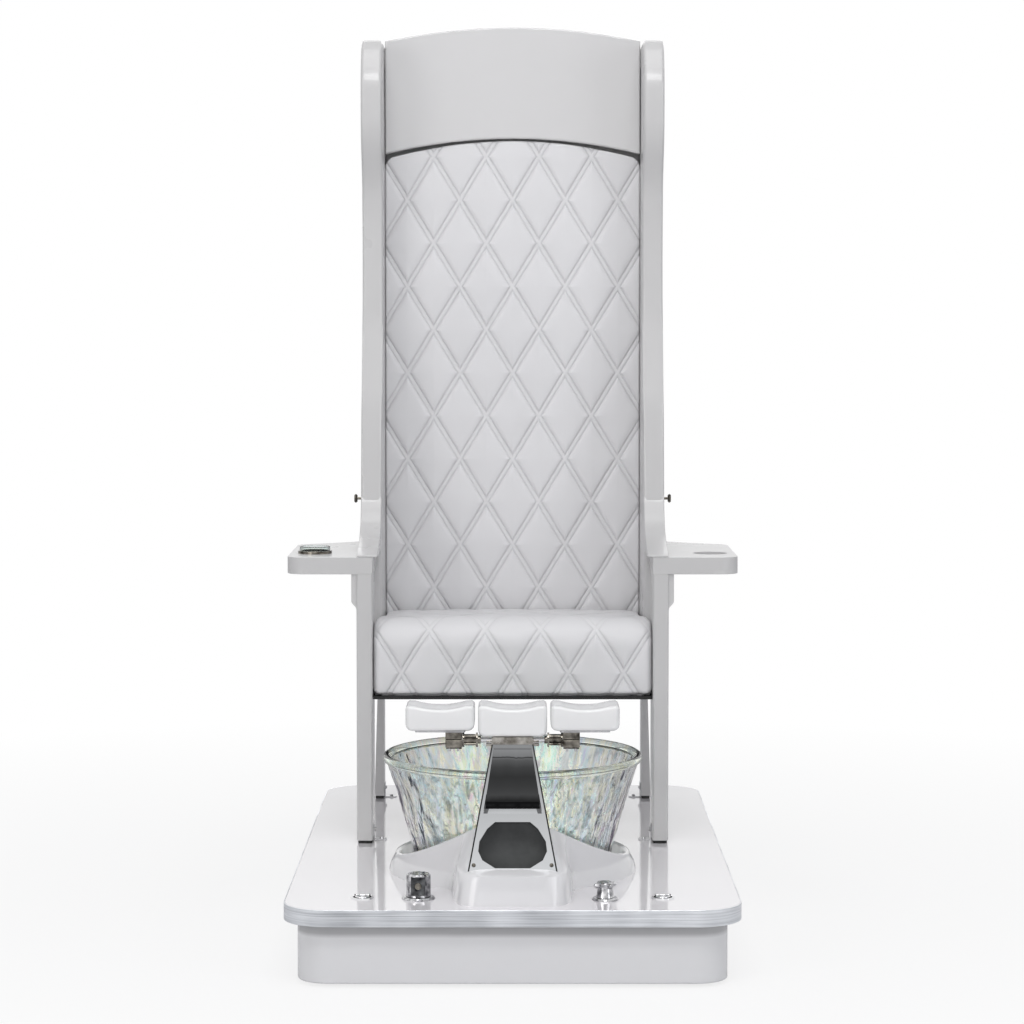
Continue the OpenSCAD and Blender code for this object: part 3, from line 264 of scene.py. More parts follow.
# %% Group: slow clouds with a fine polish haze
cloud_group, given = make_group("finish_cloud", COMMON_IN, COMMON_OUT)
place = object_place(cloud_group)
clouds = spread(cloud_group, noise_field(cloud_group, place, given["Scale"], 4, 0.55), 0.32, 0.68)
put_out(cloud_group, given, clouds, clouds, noise_field(cloud_group, place, 260))

# %% Group: leather pebble
leather_group, given = make_group("leather_pebble", COMMON_IN, COMMON_OUT)
place = object_place(leather_group)
cells = add(leather_group, "ShaderNodeTexVoronoi", {"Vector": place, "Scale": given["Scale"]},
            feature="DISTANCE_TO_EDGE")
pebbles = spread(leather_group, cells.outputs["Distance"], 0.0, 0.22)
crease = noise_field(leather_group, place, 42, 5)
slow = spread(leather_group, noise_field(leather_group, place, 3.2, 3), 0.3, 0.7)
put_out(leather_group, given, slow, crease, calc(leather_group, "MULTIPLY_ADD", pebbles, 0.7, crease))

# %% Group: lines of brushed steel, running level round the deck, over broad patches that are painted reflection on steel and plain tone on timber
brushed_group, given = make_group("brushed_lines", COMMON_IN, COMMON_OUT)
place = object_place(brushed_group)
squeezed = add(brushed_group, "ShaderNodeMapping", {"Vector": place, "Scale": (0.05, 0.05, 6.0)}).outputs[0]
lines = noise_field(brushed_group, squeezed, given["Scale"], 6, 0.7)
# Broad patches: painted reflection on the steel band, uneven tone on timber.
patchy_tone_and_reflection = calc(brushed_group, "MULTIPLY", noise_field(brushed_group, place, 7), 0.5)
both = calc(brushed_group, "MULTIPLY_ADD", lines, 0.55, patchy_tone_and_reflection)
put_out(brushed_group, given, spread(brushed_group, both, 0.40, 0.66), lines, lines)

# %% Group: drifting tints of coated glass, crossed by upright dark streaks of painted reflection
GLASS_AXIS_Y = sum(corner[1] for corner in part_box("glass_bowl")) / 2
TINTS = [(0.30, (1.0, 0.72, 0.90)), (0.38, (1.0, 1.0, 0.99)), (0.45, (0.99, 0.96, 0.66)), (0.49, (0.98, 0.99, 1.0)),
         (0.55, (0.98, 0.99, 1.0)), (0.60, (0.62, 0.90, 0.97)), (0.65, (0.97, 0.98, 1.0)), (0.70, (0.70, 0.70, 1.0))]
tint_group, given = make_group("glass_tints", [(VALUE, "Scale", 40.0), (VALUE, "Strength", 0.5),
                                               (VALUE, "Streaks", 0.5), (COLOR, "Shade", (1, 1, 1, 1))],
                               [(COLOR, "Color"), (VALUE, "Height")])
axes = add(tint_group, "ShaderNodeSeparateXYZ", {0: object_place(tint_group)}).outputs
behind = calc(tint_group, "SUBTRACT", axes["Y"], GLASS_AXIS_Y)
around = calc(tint_group, "MULTIPLY", calc(tint_group, "ARCTAN2", behind, axes["X"]), 0.20)
upward = calc(tint_group, "MULTIPLY", axes["Z"], 0.24)
wrapped = add(tint_group, "ShaderNodeCombineXYZ", {"X": around, "Y": upward}).outputs[0]
drift = noise_field(tint_group, wrapped, given["Scale"], 3.0, distortion=1.2)
lines = noise_field(tint_group, wrapped, 95.0, 2.5, distortion=0.7)
film = blend(tint_group, given["Strength"], (1, 1, 1, 1), ramp(tint_group, drift, TINTS))
thin = spread(tint_group, calc(tint_group, "ABSOLUTE", calc(tint_group, "SUBTRACT", lines, 0.5)), 0.0, 0.042, 1.0, 0.0)
frontal = spread(tint_group, behind, -0.06, 0.12, 1.0, 0.22)
streaks = calc(tint_group, "MULTIPLY", thin, calc(tint_group, "MULTIPLY", given["Streaks"], frontal))
# Painted reflection: dark streaks mixed into the colour, strongest on the bowl's front wall.
streaked_with_painted_reflections = blend(tint_group, streaks, film, (0.24, 0.27, 0.26, 1))
shaded = blend(tint_group, 1.0, streaked_with_painted_reflections, given["Shade"], "MULTIPLY")
add(tint_group, "NodeGroupOutput", {"Color": shaded, "Height": lines})
print("groups:", [g.name for g in bpy.data.node_groups])


# %% A helper that builds a finish from a group
def finish(name, light=None, dark=None, scale=6.0, smooth=0.1, rough=0.2, group=cloud_group, metallic=0.0, coat=0.0,
           bump=0.0, pattern_values=(), **fixed):
    """A material from a pattern group. Without a light and a dark colour, the group gives the colour alone."""
    material = bpy.data.materials.new(name)
    tree = new_tree(material)
    values = {"Scale": scale, **dict(pattern_values)}
    if light:
        values.update({"Light": (*light, 1), "Dark": (*dark, 1), "Smooth": smooth, "Rough": rough})
    pattern = add(tree, "ShaderNodeGroup", node_tree=group)
    for key, value in values.items():
        pattern.inputs[key].default_value = value
    surface = {"Metallic": metallic, "Coat Weight": coat, "Base Color": pattern.outputs["Color"]}
    surface.update({key.replace("_", " "): value for key, value in fixed.items()})
    if light:
        surface["Roughness"] = pattern.outputs["Roughness"]
    if bump:
        relief = add(tree, "ShaderNodeBump", {"Strength": 1.0, "Distance": bump, "Height": pattern.outputs["Height"]})
        surface["Normal"] = relief.outputs[0]
    shader = add(tree, "ShaderNodeBsdfPrincipled", surface)
    add(tree, "ShaderNodeOutputMaterial", {"Surface": shader.outputs[0]})
    return material


# Each finish: its name, its light and dark colour, the scale of its pattern, its smoothest and roughest value.
FINISHES = {
    "gloss_white": finish("lacquer_plinth", (0.79, 0.795, 0.82), (0.76, 0.765, 0.79), 3, 0.10, 0.22,
                          coat=0.6, bump=2e-5),
    "deck_white": finish("laminate_deck", (0.93, 0.91, 0.935), (0.90, 0.875, 0.905), 2.5, 0.04, 0.12,
                         coat=0.6, bump=1e-5),
    "moulded_white": finish("moulded_white", (0.79, 0.787, 0.80), (0.745, 0.742, 0.757), 5, 0.10, 0.22,
                            coat=0.6, bump=3e-5),
    "pad_white": finish("pad_white", (0.855, 0.855, 0.855), (0.82, 0.82, 0.823), 9, 0.12, 0.22, coat=0.5, bump=2e-5),
    "lacquered_wood": finish("lacquer_frame", (0.61, 0.605, 0.606), (0.58, 0.575, 0.576), 4, 0.26, 0.36,
                             coat=0.25, bump=4e-5),
    "raw_wood": finish("plain_timber", (0.56, 0.40, 0.24), (0.42, 0.28, 0.16), 60, 0.5, 0.7, brushed_group, bump=2e-4),
    "upholstery": finish("white_leather", (0.79, 0.786, 0.80), (0.745, 0.741, 0.755), 720, 0.36, 0.54, leather_group,
                         coat=0.06, bump=1.8e-4),
    "black_board": finish("black_cloth", (0.012, 0.012, 0.013), (0.02, 0.02, 0.021), 300, 0.7, 0.9, bump=2e-4),
    "rubber": finish("black_rubber", (0.02, 0.02, 0.02), (0.032, 0.032, 0.032), 60, 0.55, 0.75, bump=1e-4),
    # The band's wide range from light to dark is partly its brushing, partly painted reflection.
    "brushed_band": finish("brushed_steel_band_painted_reflections", (0.93, 0.95, 0.98), (0.36, 0.375, 0.40), 90, 0.20, 0.40, brushed_group,
                           metallic=1.0, bump=6e-5),
    "chrome": finish("bright_chrome", (0.78, 0.78, 0.79), (0.70, 0.70, 0.72), 14, 0.04, 0.10, metallic=1.0),
    # Its dark tone is partly the metal's own; the blotches of bright and near black are painted reflections.
    "dark_chrome": finish("dark_chrome_painted_reflections", (0.36, 0.335, 0.29), (0.035, 0.030, 0.024), 75, 0.08, 0.20, metallic=1.0),
    "steel": finish("satin_steel", (0.62, 0.62, 0.63), (0.50, 0.50, 0.52), 50, 0.22, 0.40, metallic=1.0, bump=4e-5),
    "brass": finish("valve_brass", (0.72, 0.53, 0.25), (0.60, 0.42, 0.18), 50, 0.22, 0.40, metallic=1.0),
    # The glass's dark upright streaks are painted reflections.
    "glass": finish("coated_glass", scale=64, group=tint_group, bump=8e-4,
                    pattern_values={"Strength": 0.80, "Streaks": 0.85}, Transmission_Weight=1.0, IOR=1.47,
                    Roughness=0.03, Thin_Film_Thickness=420.0, Thin_Film_IOR=1.6),
}
FRAME_PANEL = finish("lacquer_headrest", (0.68, 0.675, 0.679), (0.655, 0.65, 0.654), 3, 0.08, 0.18, coat=0.6, bump=2e-5)
KNOB_WINDOW = finish("knob_window", (0.16, 0.165, 0.17), (0.02, 0.02, 0.022), 70, 0.10, 0.18, metallic=1.0)
# The blotches of bright and near black in these two chromes are painted reflections.
BAR_CHROME_PAINTED_REFLECTIONS = finish("bar_chrome_painted_reflections", (0.66, 0.63, 0.58), (0.16, 0.145, 0.12), 60, 0.06, 0.16, metallic=1.0)
KNOB_CHROME_PAINTED_REFLECTIONS = finish("knob_chrome_painted_reflections", (0.70, 0.70, 0.715), (0.09, 0.09, 0.10), 85, 0.05, 0.14, metallic=1.0)
RIM_GLASS = finish("rim_glass", scale=60, group=tint_group, Transmission_Weight=1.0, IOR=1.5, Roughness=0.04,
                   pattern_values={"Strength": 0.9, "Streaks": 0.45, "Shade": (0.95, 0.975, 0.92, 1)})
CLEAR_GLASS = finish("clear_glass", scale=30, group=tint_group, Transmission_Weight=1.0, IOR=1.47, Roughness=0.02,
                     pattern_values={"Strength": 0.15, "Streaks": 0.0, "Shade": (0.90, 0.95, 0.94, 1)})
slot_of = {s["node"]: s["material_slot"] for s in frame["record"]["subparts"]}
print("finishes:", sorted(FINISHES))


# %% A helper that builds a surface whose tone changes along one direction
def graded(name, foot, way, stops, tint=(1.0, 1.0, 1.0), streak=0.004, rough=0.08, metallic=1.0, lines=(60, 60, 9)):
    """Tones at distances in metres from a foot point along a direction, pushed about by a noise."""
    material = bpy.data.materials.new(name)
    tree = new_tree(material)
    place = object_place(tree)
    along = add(tree, "ShaderNodeVectorMath", {0: place, 1: tuple(way)}, operation="DOT_PRODUCT").outputs["Value"]
    squeezed = add(tree, "ShaderNodeMapping", {"Vector": place, "Scale": lines}).outputs[0]
    pushed = calc(tree, "MULTIPLY_ADD", noise_field(tree, squeezed, 1.0, 3), streak, along)
    first, last = stops[0][0], stops[-1][0]
    start = Vector(foot).dot(Vector(way)) + streak / 2
    tones = [((at - first) / (last - first), tuple(tone * part for part in tint)) for at, tone in stops]
    color = ramp(tree, spread(tree, pushed, first + start, last + start), tones)
    shader = add(tree, "ShaderNodeBsdfPrincipled", {"Metallic": metallic, "Roughness": rough, "Base Color": color})
    add(tree, "ShaderNodeOutputMaterial", {"Surface": shader.outputs[0]})
    return material


# %% Plinth lacquer, with a painted shadow in the strip under the deck's edge
# The step to darker tones above 0.082 m is a painted shadow of the deck's overhang.
PLINTH_PAINTED_SHADOW = graded("lacquer_plinth_painted_shadow", (0, 0, 0), (0, 0, 1),
                      [(0.0, 0.75), (0.082, 0.74), (0.090, 0.44), (0.110, 0.37)], (0.985, 0.985, 1.0), streak=0.003,
                      rough=0.2, metallic=0.0, lines=(4, 4, 30))
print("plinth lacquer made")

# %% [markdown]
# ## Rigid pieces
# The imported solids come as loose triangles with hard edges, and no real edge is that sharp. Each rigid piece is
# copied, its points are merged, flat faces are joined again, and a small bevel is put on its sharp edges. The
# copy stands for the solid and rides on the same body.

# %% Copy a solid, merge it and soften its edges
def put_on(piece, node):
    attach(piece, nodes[node]["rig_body"])


def dressed(node, bevel, segments, smooth_deg, material):
    mesh = nodes[node].data.copy()
    mesh.name = node + "_dressed"
    if "custom_normal" in mesh.attributes:
        mesh.attributes.remove(mesh.attributes["custom_normal"])
    piece = bpy.data.objects.new(node + "_dressed", mesh)
    scene.collection.objects.link(piece)
    work = bmesh.new()
    work.from_mesh(mesh)
    bmesh.ops.remove_doubles(work, verts=work.verts, dist=0.00002)
    if bevel:
        bmesh.ops.dissolve_limit(work, angle_limit=math.radians(0.6), verts=work.verts, edges=work.edges)
    work.to_mesh(mesh)
    work.free()
    mesh.polygons.foreach_set("use_smooth", [True] * len(mesh.polygons))
    mesh.set_sharp_from_angle(angle=math.radians(smooth_deg))
    mesh.materials.clear()
    mesh.materials.append(material or FINISHES[slot_of[node]])
    if bevel:
        soften = piece.modifiers.new("soft_edge", "BEVEL")
        soften.width = bevel
        soften.segments = segments
        soften.limit_method = "ANGLE"
        soften.angle_limit = math.radians(smooth_deg)
        soften.harden_normals = False
    even = piece.modifiers.new("even_shading", "WEIGHTED_NORMAL")
    even.keep_sharp = True
    even.weight = 100
    put_on(piece, node)
    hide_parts(node)


EDGES = {
    "plinth": 0.003, "deck_band": 0.0008, "front_legs": 0.0015, "rear_legs": 0.0025, "side_rails": 0.002,
    "arm_corbels": 0.002, "back_board": 0.002, "left_stile": 0.0025, "right_stile": 0.0025, "left_armrest": 0.0035,
    "right_armrest": 0.0035, "column": 0.0012, "footrest_bar": 0.001, "left_hinge_block": 0.0008,
    "right_hinge_block": 0.0008, "rod_frames": 0.0004, "mixer_knob": 0.0008, "cross_handle": 0.0006,
    "mixer_plate": 0.0006, "diverter_plate": 0.0006, "leg_brackets": 0.0004, "dish_collar": 0.0006,
    "dish_glass": 0.001, "hook_knobs": 0.0004, "seat_board": 0.0008, "leg_glides": 0.001,
}
SHARP_DEG, MODELLED_SHARP_DEG = 38, 58
MODELLED_ROUND = {"left_stile", "right_stile", "headrest_panel", "centre_pad", "left_pad", "right_pad"}
OWN_FINISH = {"headrest_panel": FRAME_PANEL, "dish_glass": CLEAR_GLASS, "footrest_bar": BAR_CHROME_PAINTED_REFLECTIONS,
              "plinth": PLINTH_PAINTED_SHADOW, "mixer_knob": KNOB_CHROME_PAINTED_REFLECTIONS, "mixer_plate": KNOB_CHROME_PAINTED_REFLECTIONS,
              "cross_handle": KNOB_CHROME_PAINTED_REFLECTIONS, "diverter_plate": KNOB_CHROME_PAINTED_REFLECTIONS}
MADE_ANEW = {"back_cushion", "seat_cushion", "glass_bowl"}
for name in nodes:
    if name not in MADE_ANEW:
        bevel = EDGES.get(name, 0.0)
        dressed(name, bevel, 3 if bevel > 0.002 else 2, MODELLED_SHARP_DEG if name in MODELLED_ROUND else SHARP_DEG,
                OWN_FINISH.get(name))
print("dressed:", len(nodes) - len(MADE_ANEW))


# %% Sand the stiles' front edges to one long easy curve
EASE_LOW, EASE_HIGH, EASE_REACH, EASE_FADE = 0.80, 1.35, 0.13, 0.08
FRONT_LIMIT = 0.25


def front_at(points, height):
    """How far back the front edge lies at a height, from the edge's own points."""
    return float(np.interp(height, points[:, 1], points[:, 0]))


def ease_front(name):
    """Averages the front edge over a reach above and below each height."""
    mesh = bpy.data.objects[name].data
    rows = {}
    for v in mesh.vertices:
        key = round(v.co.z, 3)
        rows[key] = min(rows.get(key, 9), v.co.y)
    edge = np.array([(rows[z], z) for z in sorted(rows) if EASE_LOW - 0.2 < z < EASE_HIGH + 0.2])
    edge = edge[edge[:, 0] < FRONT_LIMIT]
    moved = 0
    for v in mesh.vertices:
        z = v.co.z
        if EASE_LOW < z < EASE_HIGH and v.co.y < FRONT_LIMIT + 0.01:
            window = [front_at(edge, z + EASE_REACH * k / 8) for k in range(-8, 9)]
            ends = min(1.0, (z - EASE_LOW) / EASE_FADE, (EASE_HIGH - z) / EASE_FADE)
            v.co.y += (sum(window) / len(window) - front_at(edge, z)) * ends
            moved += 1
    return moved


print("eased:", [ease_front(name) for name in ("left_stile_dressed", "right_stile_dressed")])

# %% [markdown]
# ## Footrest pads and the stiles' feet
# The soft skins of the footrest pads end a little lower than their solids, so that daylight shows between them
# and the seat, and they bulge a little sideways. The foot of each stile sweeps forward on its armrest in one
# curve: a flat plate cut to that curve stands against the stile, with its edges rounded like the stile's.

# %% Settle the footrest pads
PAD_DOWN, PAD_WIDER = 0.011, 0.0015


def settle_pad(name):
    mesh = bpy.data.objects[name].data
    at = np.array([v.co[:] for v in mesh.vertices])
    low, high = at.min(0), at.max(0)
    at[:, 2] -= PAD_DOWN * np.clip((at[:, 2] - low[2] - 0.012) / (high[2] - low[2] - 0.032), 0, 1)
    at[:, 0] += PAD_WIDER * np.clip((at[:, 0] - (low[0] + high[0]) / 2) / 0.030, -1, 1)
    mesh.vertices.foreach_set("co", at.ravel())
    mesh.update()
    return round(float(at[:, 2].max()), 4)


print("pad tops:", [settle_pad(name) for name in ("centre_pad_dressed", "left_pad_dressed", "right_pad_dressed")])

# %% The stiles' feet
ARM_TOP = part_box("left_armrest")[1][2]
FOOT_KEYS = [(0.180, 0.118), (0.152, 0.064), (0.116, 0.036), (0.064, 0.018), (0.018, 0.008), (0.002, 0.003)]
CHAIR_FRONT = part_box("left_armrest")[0][1]
FOOT_SKIN = 0.0004


def through(points, steps=6):
    """A smooth curve through points (Catmull-Rom)."""
    p = np.array([points[0]] + list(points) + [points[-1]])
    curve = []
    for i in range(1, len(p) - 2):
        for k in range(steps):
            t = k / steps
            bent = 2 * p[i - 1] - 5 * p[i] + 4 * p[i + 1] - p[i + 2]
            twisted = 3 * p[i] - p[i - 1] - 3 * p[i + 1] + p[i + 2]
            curve.append(0.5 * (2 * p[i] + (p[i + 1] - p[i - 1]) * t + bent * t * t + twisted * t ** 3))
    return curve + [p[-1]]


def stile_foot(side):
    low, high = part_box(side + "_stile")
    outline = [(0.002, 0.0002), (0.192, 0.0002), (0.192, 0.118)] + [tuple(p) for p in through(FOOT_KEYS)]
    work = bmesh.new()
    ring = [work.verts.new((low[0] + FOOT_SKIN, CHAIR_FRONT + y, ARM_TOP + z)) for y, z in outline]
    plate = work.faces.new(ring)
    grown = bmesh.ops.extrude_face_region(work, geom=[plate])
    bmesh.ops.translate(work, verts=[g for g in grown["geom"] if isinstance(g, bmesh.types.BMVert)],
                        vec=(high[0] - low[0] - 2 * FOOT_SKIN, 0, 0))
    bmesh.ops.recalc_face_normals(work, faces=work.faces)
    mesh = bpy.data.meshes.new(side + "_stile_foot")
    work.to_mesh(mesh)
    work.free()
    mesh.polygons.foreach_set("use_smooth", [True] * len(mesh.polygons))
    mesh.set_sharp_from_angle(angle=math.radians(40))
    mesh.materials.append(FINISHES["lacquered_wood"])
    foot = bpy.data.objects.new(side + "_stile_foot", mesh)
    scene.collection.objects.link(foot)
    soften = foot.modifiers.new("soft_edge", "BEVEL")
    soften.width, soften.segments = 0.0028, 3
    soften.limit_method, soften.angle_limit = "ANGLE", math.radians(50)
    even = foot.modifiers.new("even_shading", "WEIGHTED_NORMAL")
    even.keep_sharp = True
    put_on(foot, side + "_stile")
    return foot


print("stile feet:", [stile_foot(side).name for side in ("left", "right")])

# %% [markdown]
# ## The column's inside
# The column is one bright chrome shell with a channel down its face and a pocket at its foot. Both would mirror the
# dark of a room, and that reflection is painted into the colour: the channel, its walls and the pocket are painted
# mostly near black, and the flanges are painted bright, fading with height. Each kind of face gets a material of its
# own, and a thin dark line of painted reflection is cut off along the flanges' outer edges.

# %% Give each kind of face on the column its own painted reflection
LEAN = math.radians(13)
COLUMN_FOOT = Vector((0, -0.575, 0.177))
FACE_OUT = Vector((0, -math.cos(LEAN), math.sin(LEAN)))
FACE_UP = Vector((0, math.sin(LEAN), math.cos(LEAN)))
SILVER = (0.955, 0.975, 1.0)
EDGE_LINE = 0.0024
SIDE_OUT = Vector((0.9829, 0, 0)) + FACE_UP * 0.1844
FLANGE_REFLECTION_TONES = [(0.0, 0.66), (0.05, 0.60), (0.10, 0.52), (0.15, 0.44), (0.19, 0.34), (0.219, 0.26)]
CHANNEL_REFLECTION_TONES = [(0.097, 0.24), (0.108, 0.19), (0.1185, 0.12), (0.1215, 0.04), (0.126, 0.020), (0.136, 0.060),
                 (0.150, 0.045), (0.166, 0.035), (0.182, 0.055), (0.194, 0.10), (0.1975, 0.14), (0.1985, 0.015),
                 (0.2005, 0.20), (0.219, 0.30)]
WALL_REFLECTION_TONES = [(0.0, 0.30), (0.05, 0.02), (0.12, 0.012), (0.16, 0.10), (0.219, 0.30)]
CHROME, CHANNEL, POCKET, FLANGE, WALL, LINE = range(6)


def painted_column_reflection(name, tones, **more):
    return graded(name, COLUMN_FOOT, FACE_UP, tones, SILVER, **more)


column = bpy.data.objects["column_dressed"]
# Painted reflections: each kind of face gets tones that stand for what its chrome would mirror, changing with height.
for tone in (painted_column_reflection("channel_painted_reflection", CHANNEL_REFLECTION_TONES, streak=0.007, rough=0.05),
             finish("pocket_painted_reflection", (0.105, 0.11, 0.11), (0.06, 0.062, 0.064), 14, 0.35, 0.5, metallic=0.6, bump=3e-5),
             painted_column_reflection("flange_painted_reflection", FLANGE_REFLECTION_TONES, streak=0.010, rough=0.06),
             painted_column_reflection("channel_wall_painted_reflection", WALL_REFLECTION_TONES, streak=0.05, rough=0.06, lines=(90, 90, 40)),
             painted_column_reflection("column_edge_painted_reflection", [(0.0, 0.02), (0.219, 0.05)], rough=0.10)):
    column.data.materials.append(tone)
work = bmesh.new()
work.from_mesh(column.data)
edge_at = max((v.co - COLUMN_FOOT).dot(SIDE_OUT) for v in work.verts) - EDGE_LINE
for mirrored in (1, -1):
    way = Vector((SIDE_OUT.x * mirrored, SIDE_OUT.y, SIDE_OUT.z))
    bmesh.ops.bisect_plane(work, geom=work.verts[:] + work.edges[:] + work.faces[:], dist=0.00001,
                           plane_co=COLUMN_FOOT + way * edge_at, plane_no=way)
work.to_mesh(column.data)
work.free()
inside_count = 0
for face in column.data.polygons:
    rel = face.center - COLUMN_FOOT
    depth, up = -rel.dot(FACE_OUT), rel.dot(FACE_UP)
    outward, sideways = face.normal.dot(FACE_OUT), abs(face.normal.x)
    if depth > 0.0009 and 0.010 < up < 0.216 and abs(face.center.x) < 0.076 - 0.19 * up - 0.0035:
        face.material_index = POCKET if up < 0.100 else WALL if sideways > 0.5 else CHANNEL
        inside_count += 1
    elif outward > 0.9:
        mirrored = math.copysign(1, face.center.x)
        out_at = rel.x * mirrored * SIDE_OUT.x + rel.y * SIDE_OUT.y + rel.z * SIDE_OUT.z
        face.material_index = LINE if out_at > edge_at else FLANGE
# The bevels along the flanges' outer edges take the dark line of painted reflection.
column.modifiers["soft_edge"].material = LINE
column.modifiers["soft_edge"].width = 0.0016
print("column faces inside:", inside_count)

# %% The dark flat window of the mixer knob
knob = bpy.data.objects["mixer_knob_dressed"]
knob.data.materials.append(KNOB_WINDOW)
window = [face for face in knob.data.polygons if -face.normal.y > 0.98]
for face in window:
    face.material_index = 1
print("knob window at y", round(min(face.center.y for face in window), 4))

# %% [markdown]
# ## The quilted cushions
# The chair's back and seat are covered in white leather, sewn in tall diamonds. Each channel is a double seam
# with a thin rib between its two rows of stitches, and the leather swells between the channels. Both cushions are
# grids whose height follows from the distance to the nearest channel, so the same rule serves the flat back and
# the seat that rolls over its nose.

# %% The quilting rule
DIAMOND_W, DIAMOND_H = 0.102, 0.167
PUFF = 0.0050
SEAM_HALF = 0.0040
SLOPE = math.hypot(1 / DIAMOND_W, 1 / DIAMOND_H)


def channel_distance(u, v):
    first, second = u / DIAMOND_W + v / DIAMOND_H, u / DIAMOND_W - v / DIAMOND_H
    return np.minimum(np.abs(first - np.round(first)), np.abs(second - np.round(second))) / SLOPE


def quilt_height(u, v):
    d = channel_distance(u, v)
    past = np.clip(d - SEAM_HALF, 0, None)
    return PUFF * (0.50 * (1 - np.exp(-past / 0.0036)) + 0.50 * (1 - np.exp(-(past / 0.024) ** 1.5)))


def cloudy(points, scale, seed):
    shift = Vector((seed * 3.1, seed * 1.7, seed * 0.9))
    return np.array([noise.noise(Vector(p) * scale + shift) for p in points])


print("swell in a diamond's middle:", float(quilt_height(np.array([DIAMOND_W / 2]), np.array([0.0]))[0]))

# %% [markdown]
# The two seams and the rib between them are finer than the grid, so they go into the leather's own material. Each
# point of a cushion carries its place in the quilt's plane as an attribute, and how tightly it is sewn there. The
# nodes fold the place into the distance to the nearest channel, and a ramp turns the distance into height: a
# round rib, a tight seam on each side, and the leather rising away from it. A second ramp paints shade into the
# leather's colour in the creases beside the rib.

# %% Group: the seams, the rib, and painted shade in their creases
SEAM_REACH = 0.012
RIB_TOP = 0.62
SEAM_STOPS = [(0.0, RIB_TOP), (0.14, 0.58), (0.24, 0.36), (0.34, 0.0), (0.44, 0.30), (0.60, 0.50), (1.0, RIB_TOP)]
CREASE_SHADE_STOPS = [(0.0, 0.0), (0.22, 0.15), (0.34, 1.0), (0.46, 0.30), (0.75, 0.0)]
quilt_group, _ = make_group("quilt_seams", [], [(VALUE, "Height"), (VALUE, "Crease shade")])
where = add(quilt_group, "ShaderNodeAttribute", attribute_name="quilt_place").outputs["Vector"]
axes = add(quilt_group, "ShaderNodeSeparateXYZ", {0: where}).outputs
over = calc(quilt_group, "DIVIDE", axes["X"], DIAMOND_W)
along = calc(quilt_group, "DIVIDE", axes["Y"], DIAMOND_H)
folds = [calc(quilt_group, "PINGPONG", calc(quilt_group, way, over, along), 0.5) for way in ("ADD", "SUBTRACT")]
gap = calc(quilt_group, "DIVIDE", calc(quilt_group, "MINIMUM", *folds), SLOPE * SEAM_REACH)
sewn = {}
for label, stops, slack in (("Height", SEAM_STOPS, RIB_TOP), ("Crease shade", CREASE_SHADE_STOPS, 0.0)):
    change = calc(quilt_group, "SUBTRACT", ramp(quilt_group, gap, stops, "EASE"), slack)
    sewn[label] = calc(quilt_group, "ADD", calc(quilt_group, "MULTIPLY", change, axes["Z"]), slack)
add(quilt_group, "NodeGroupOutput", sewn)
print("quilt group:", len(quilt_group.nodes), "nodes")

# %% Quilted leather: the pebble over the seams, with painted shade in the creases
QUILTED = FINISHES["upholstery"]
tree = QUILTED.node_tree
shader, pebble_bump, pebble = (next(node for node in tree.nodes if node.type == kind)
                               for kind in ("BSDF_PRINCIPLED", "BUMP", "GROUP"))
seams = add(tree, "ShaderNodeGroup", node_tree=quilt_group).outputs
seam_bump = add(tree, "ShaderNodeBump", {"Strength": 1.0, "Distance": 0.0022, "Height": seams["Height"]})
# Painted shade: the creases beside each rib darken the leather's colour.
crease_shaded = blend(tree, seams["Crease shade"], pebble.outputs["Color"], (0.93, 0.93, 0.935, 1), "MULTIPLY")
tree.links.new(seam_bump.outputs[0], pebble_bump.inputs["Normal"])
tree.links.new(crease_shaded, shader.inputs["Base Color"])
print("leather nodes:", len(tree.nodes))


# %% A closed skin from a face grid and the rims behind it
def rim_loop(grid):
    return np.vstack([grid[0, :], grid[1:, -1], grid[-1, -2::-1], grid[-2:0:-1, 0]])


def skin(name, face, place, rims, node):
    """A closed mesh from a grid of points, the grid's places in the quilt's plane, and the rims behind its edge."""
    rows, cols = face.shape[0] - 1, face.shape[1] - 1
    loop = [(0, i) for i in range(cols + 1)] + [(j, cols) for j in range(1, rows + 1)]
    loop += [(rows, i) for i in range(cols - 1, -1, -1)] + [(j, 0) for j in range(rows - 1, 0, -1)]
    points = np.vstack([face.reshape(-1, 3)] + rims)
    index = np.arange((rows + 1) * (cols + 1)).reshape(rows + 1, cols + 1)
    quads = np.stack([index[:-1, :-1], index[:-1, 1:], index[1:, 1:], index[1:, :-1]], -1).reshape(-1, 4).tolist()
    ring = [int(index[j, i]) for j, i in loop]
    n = len(ring)
    for k in range(len(rims)):
        after = [index.size + k * n + m for m in range(n)]
        quads += [(ring[m], after[m], after[(m + 1) % n], ring[(m + 1) % n]) for m in range(n)]
        ring = after
    mesh = bpy.data.meshes.new(name)
    mesh.from_pydata(points.tolist(), [], quads + [list(reversed(ring))])
    mesh.update()
    places = np.vstack([place.reshape(-1, 3)] + [rim_loop(place)] * len(rims))
    field = mesh.attributes.new("quilt_place", "FLOAT_VECTOR", "POINT")
    field.data.foreach_set("vector", places.astype(np.float32).ravel())
    piece = bpy.data.objects.new(name, mesh)
    scene.collection.objects.link(piece)
    work = bmesh.new()
    work.from_mesh(mesh)
    bmesh.ops.recalc_face_normals(work, faces=work.faces)
    work.to_mesh(mesh)
    work.free()
    mesh.polygons.foreach_set("use_smooth", [True] * len(mesh.polygons))
    mesh.set_sharp_from_angle(angle=math.radians(60))
    mesh.materials.append(QUILTED)
    put_on(piece, node)
    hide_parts(node)
    return piece


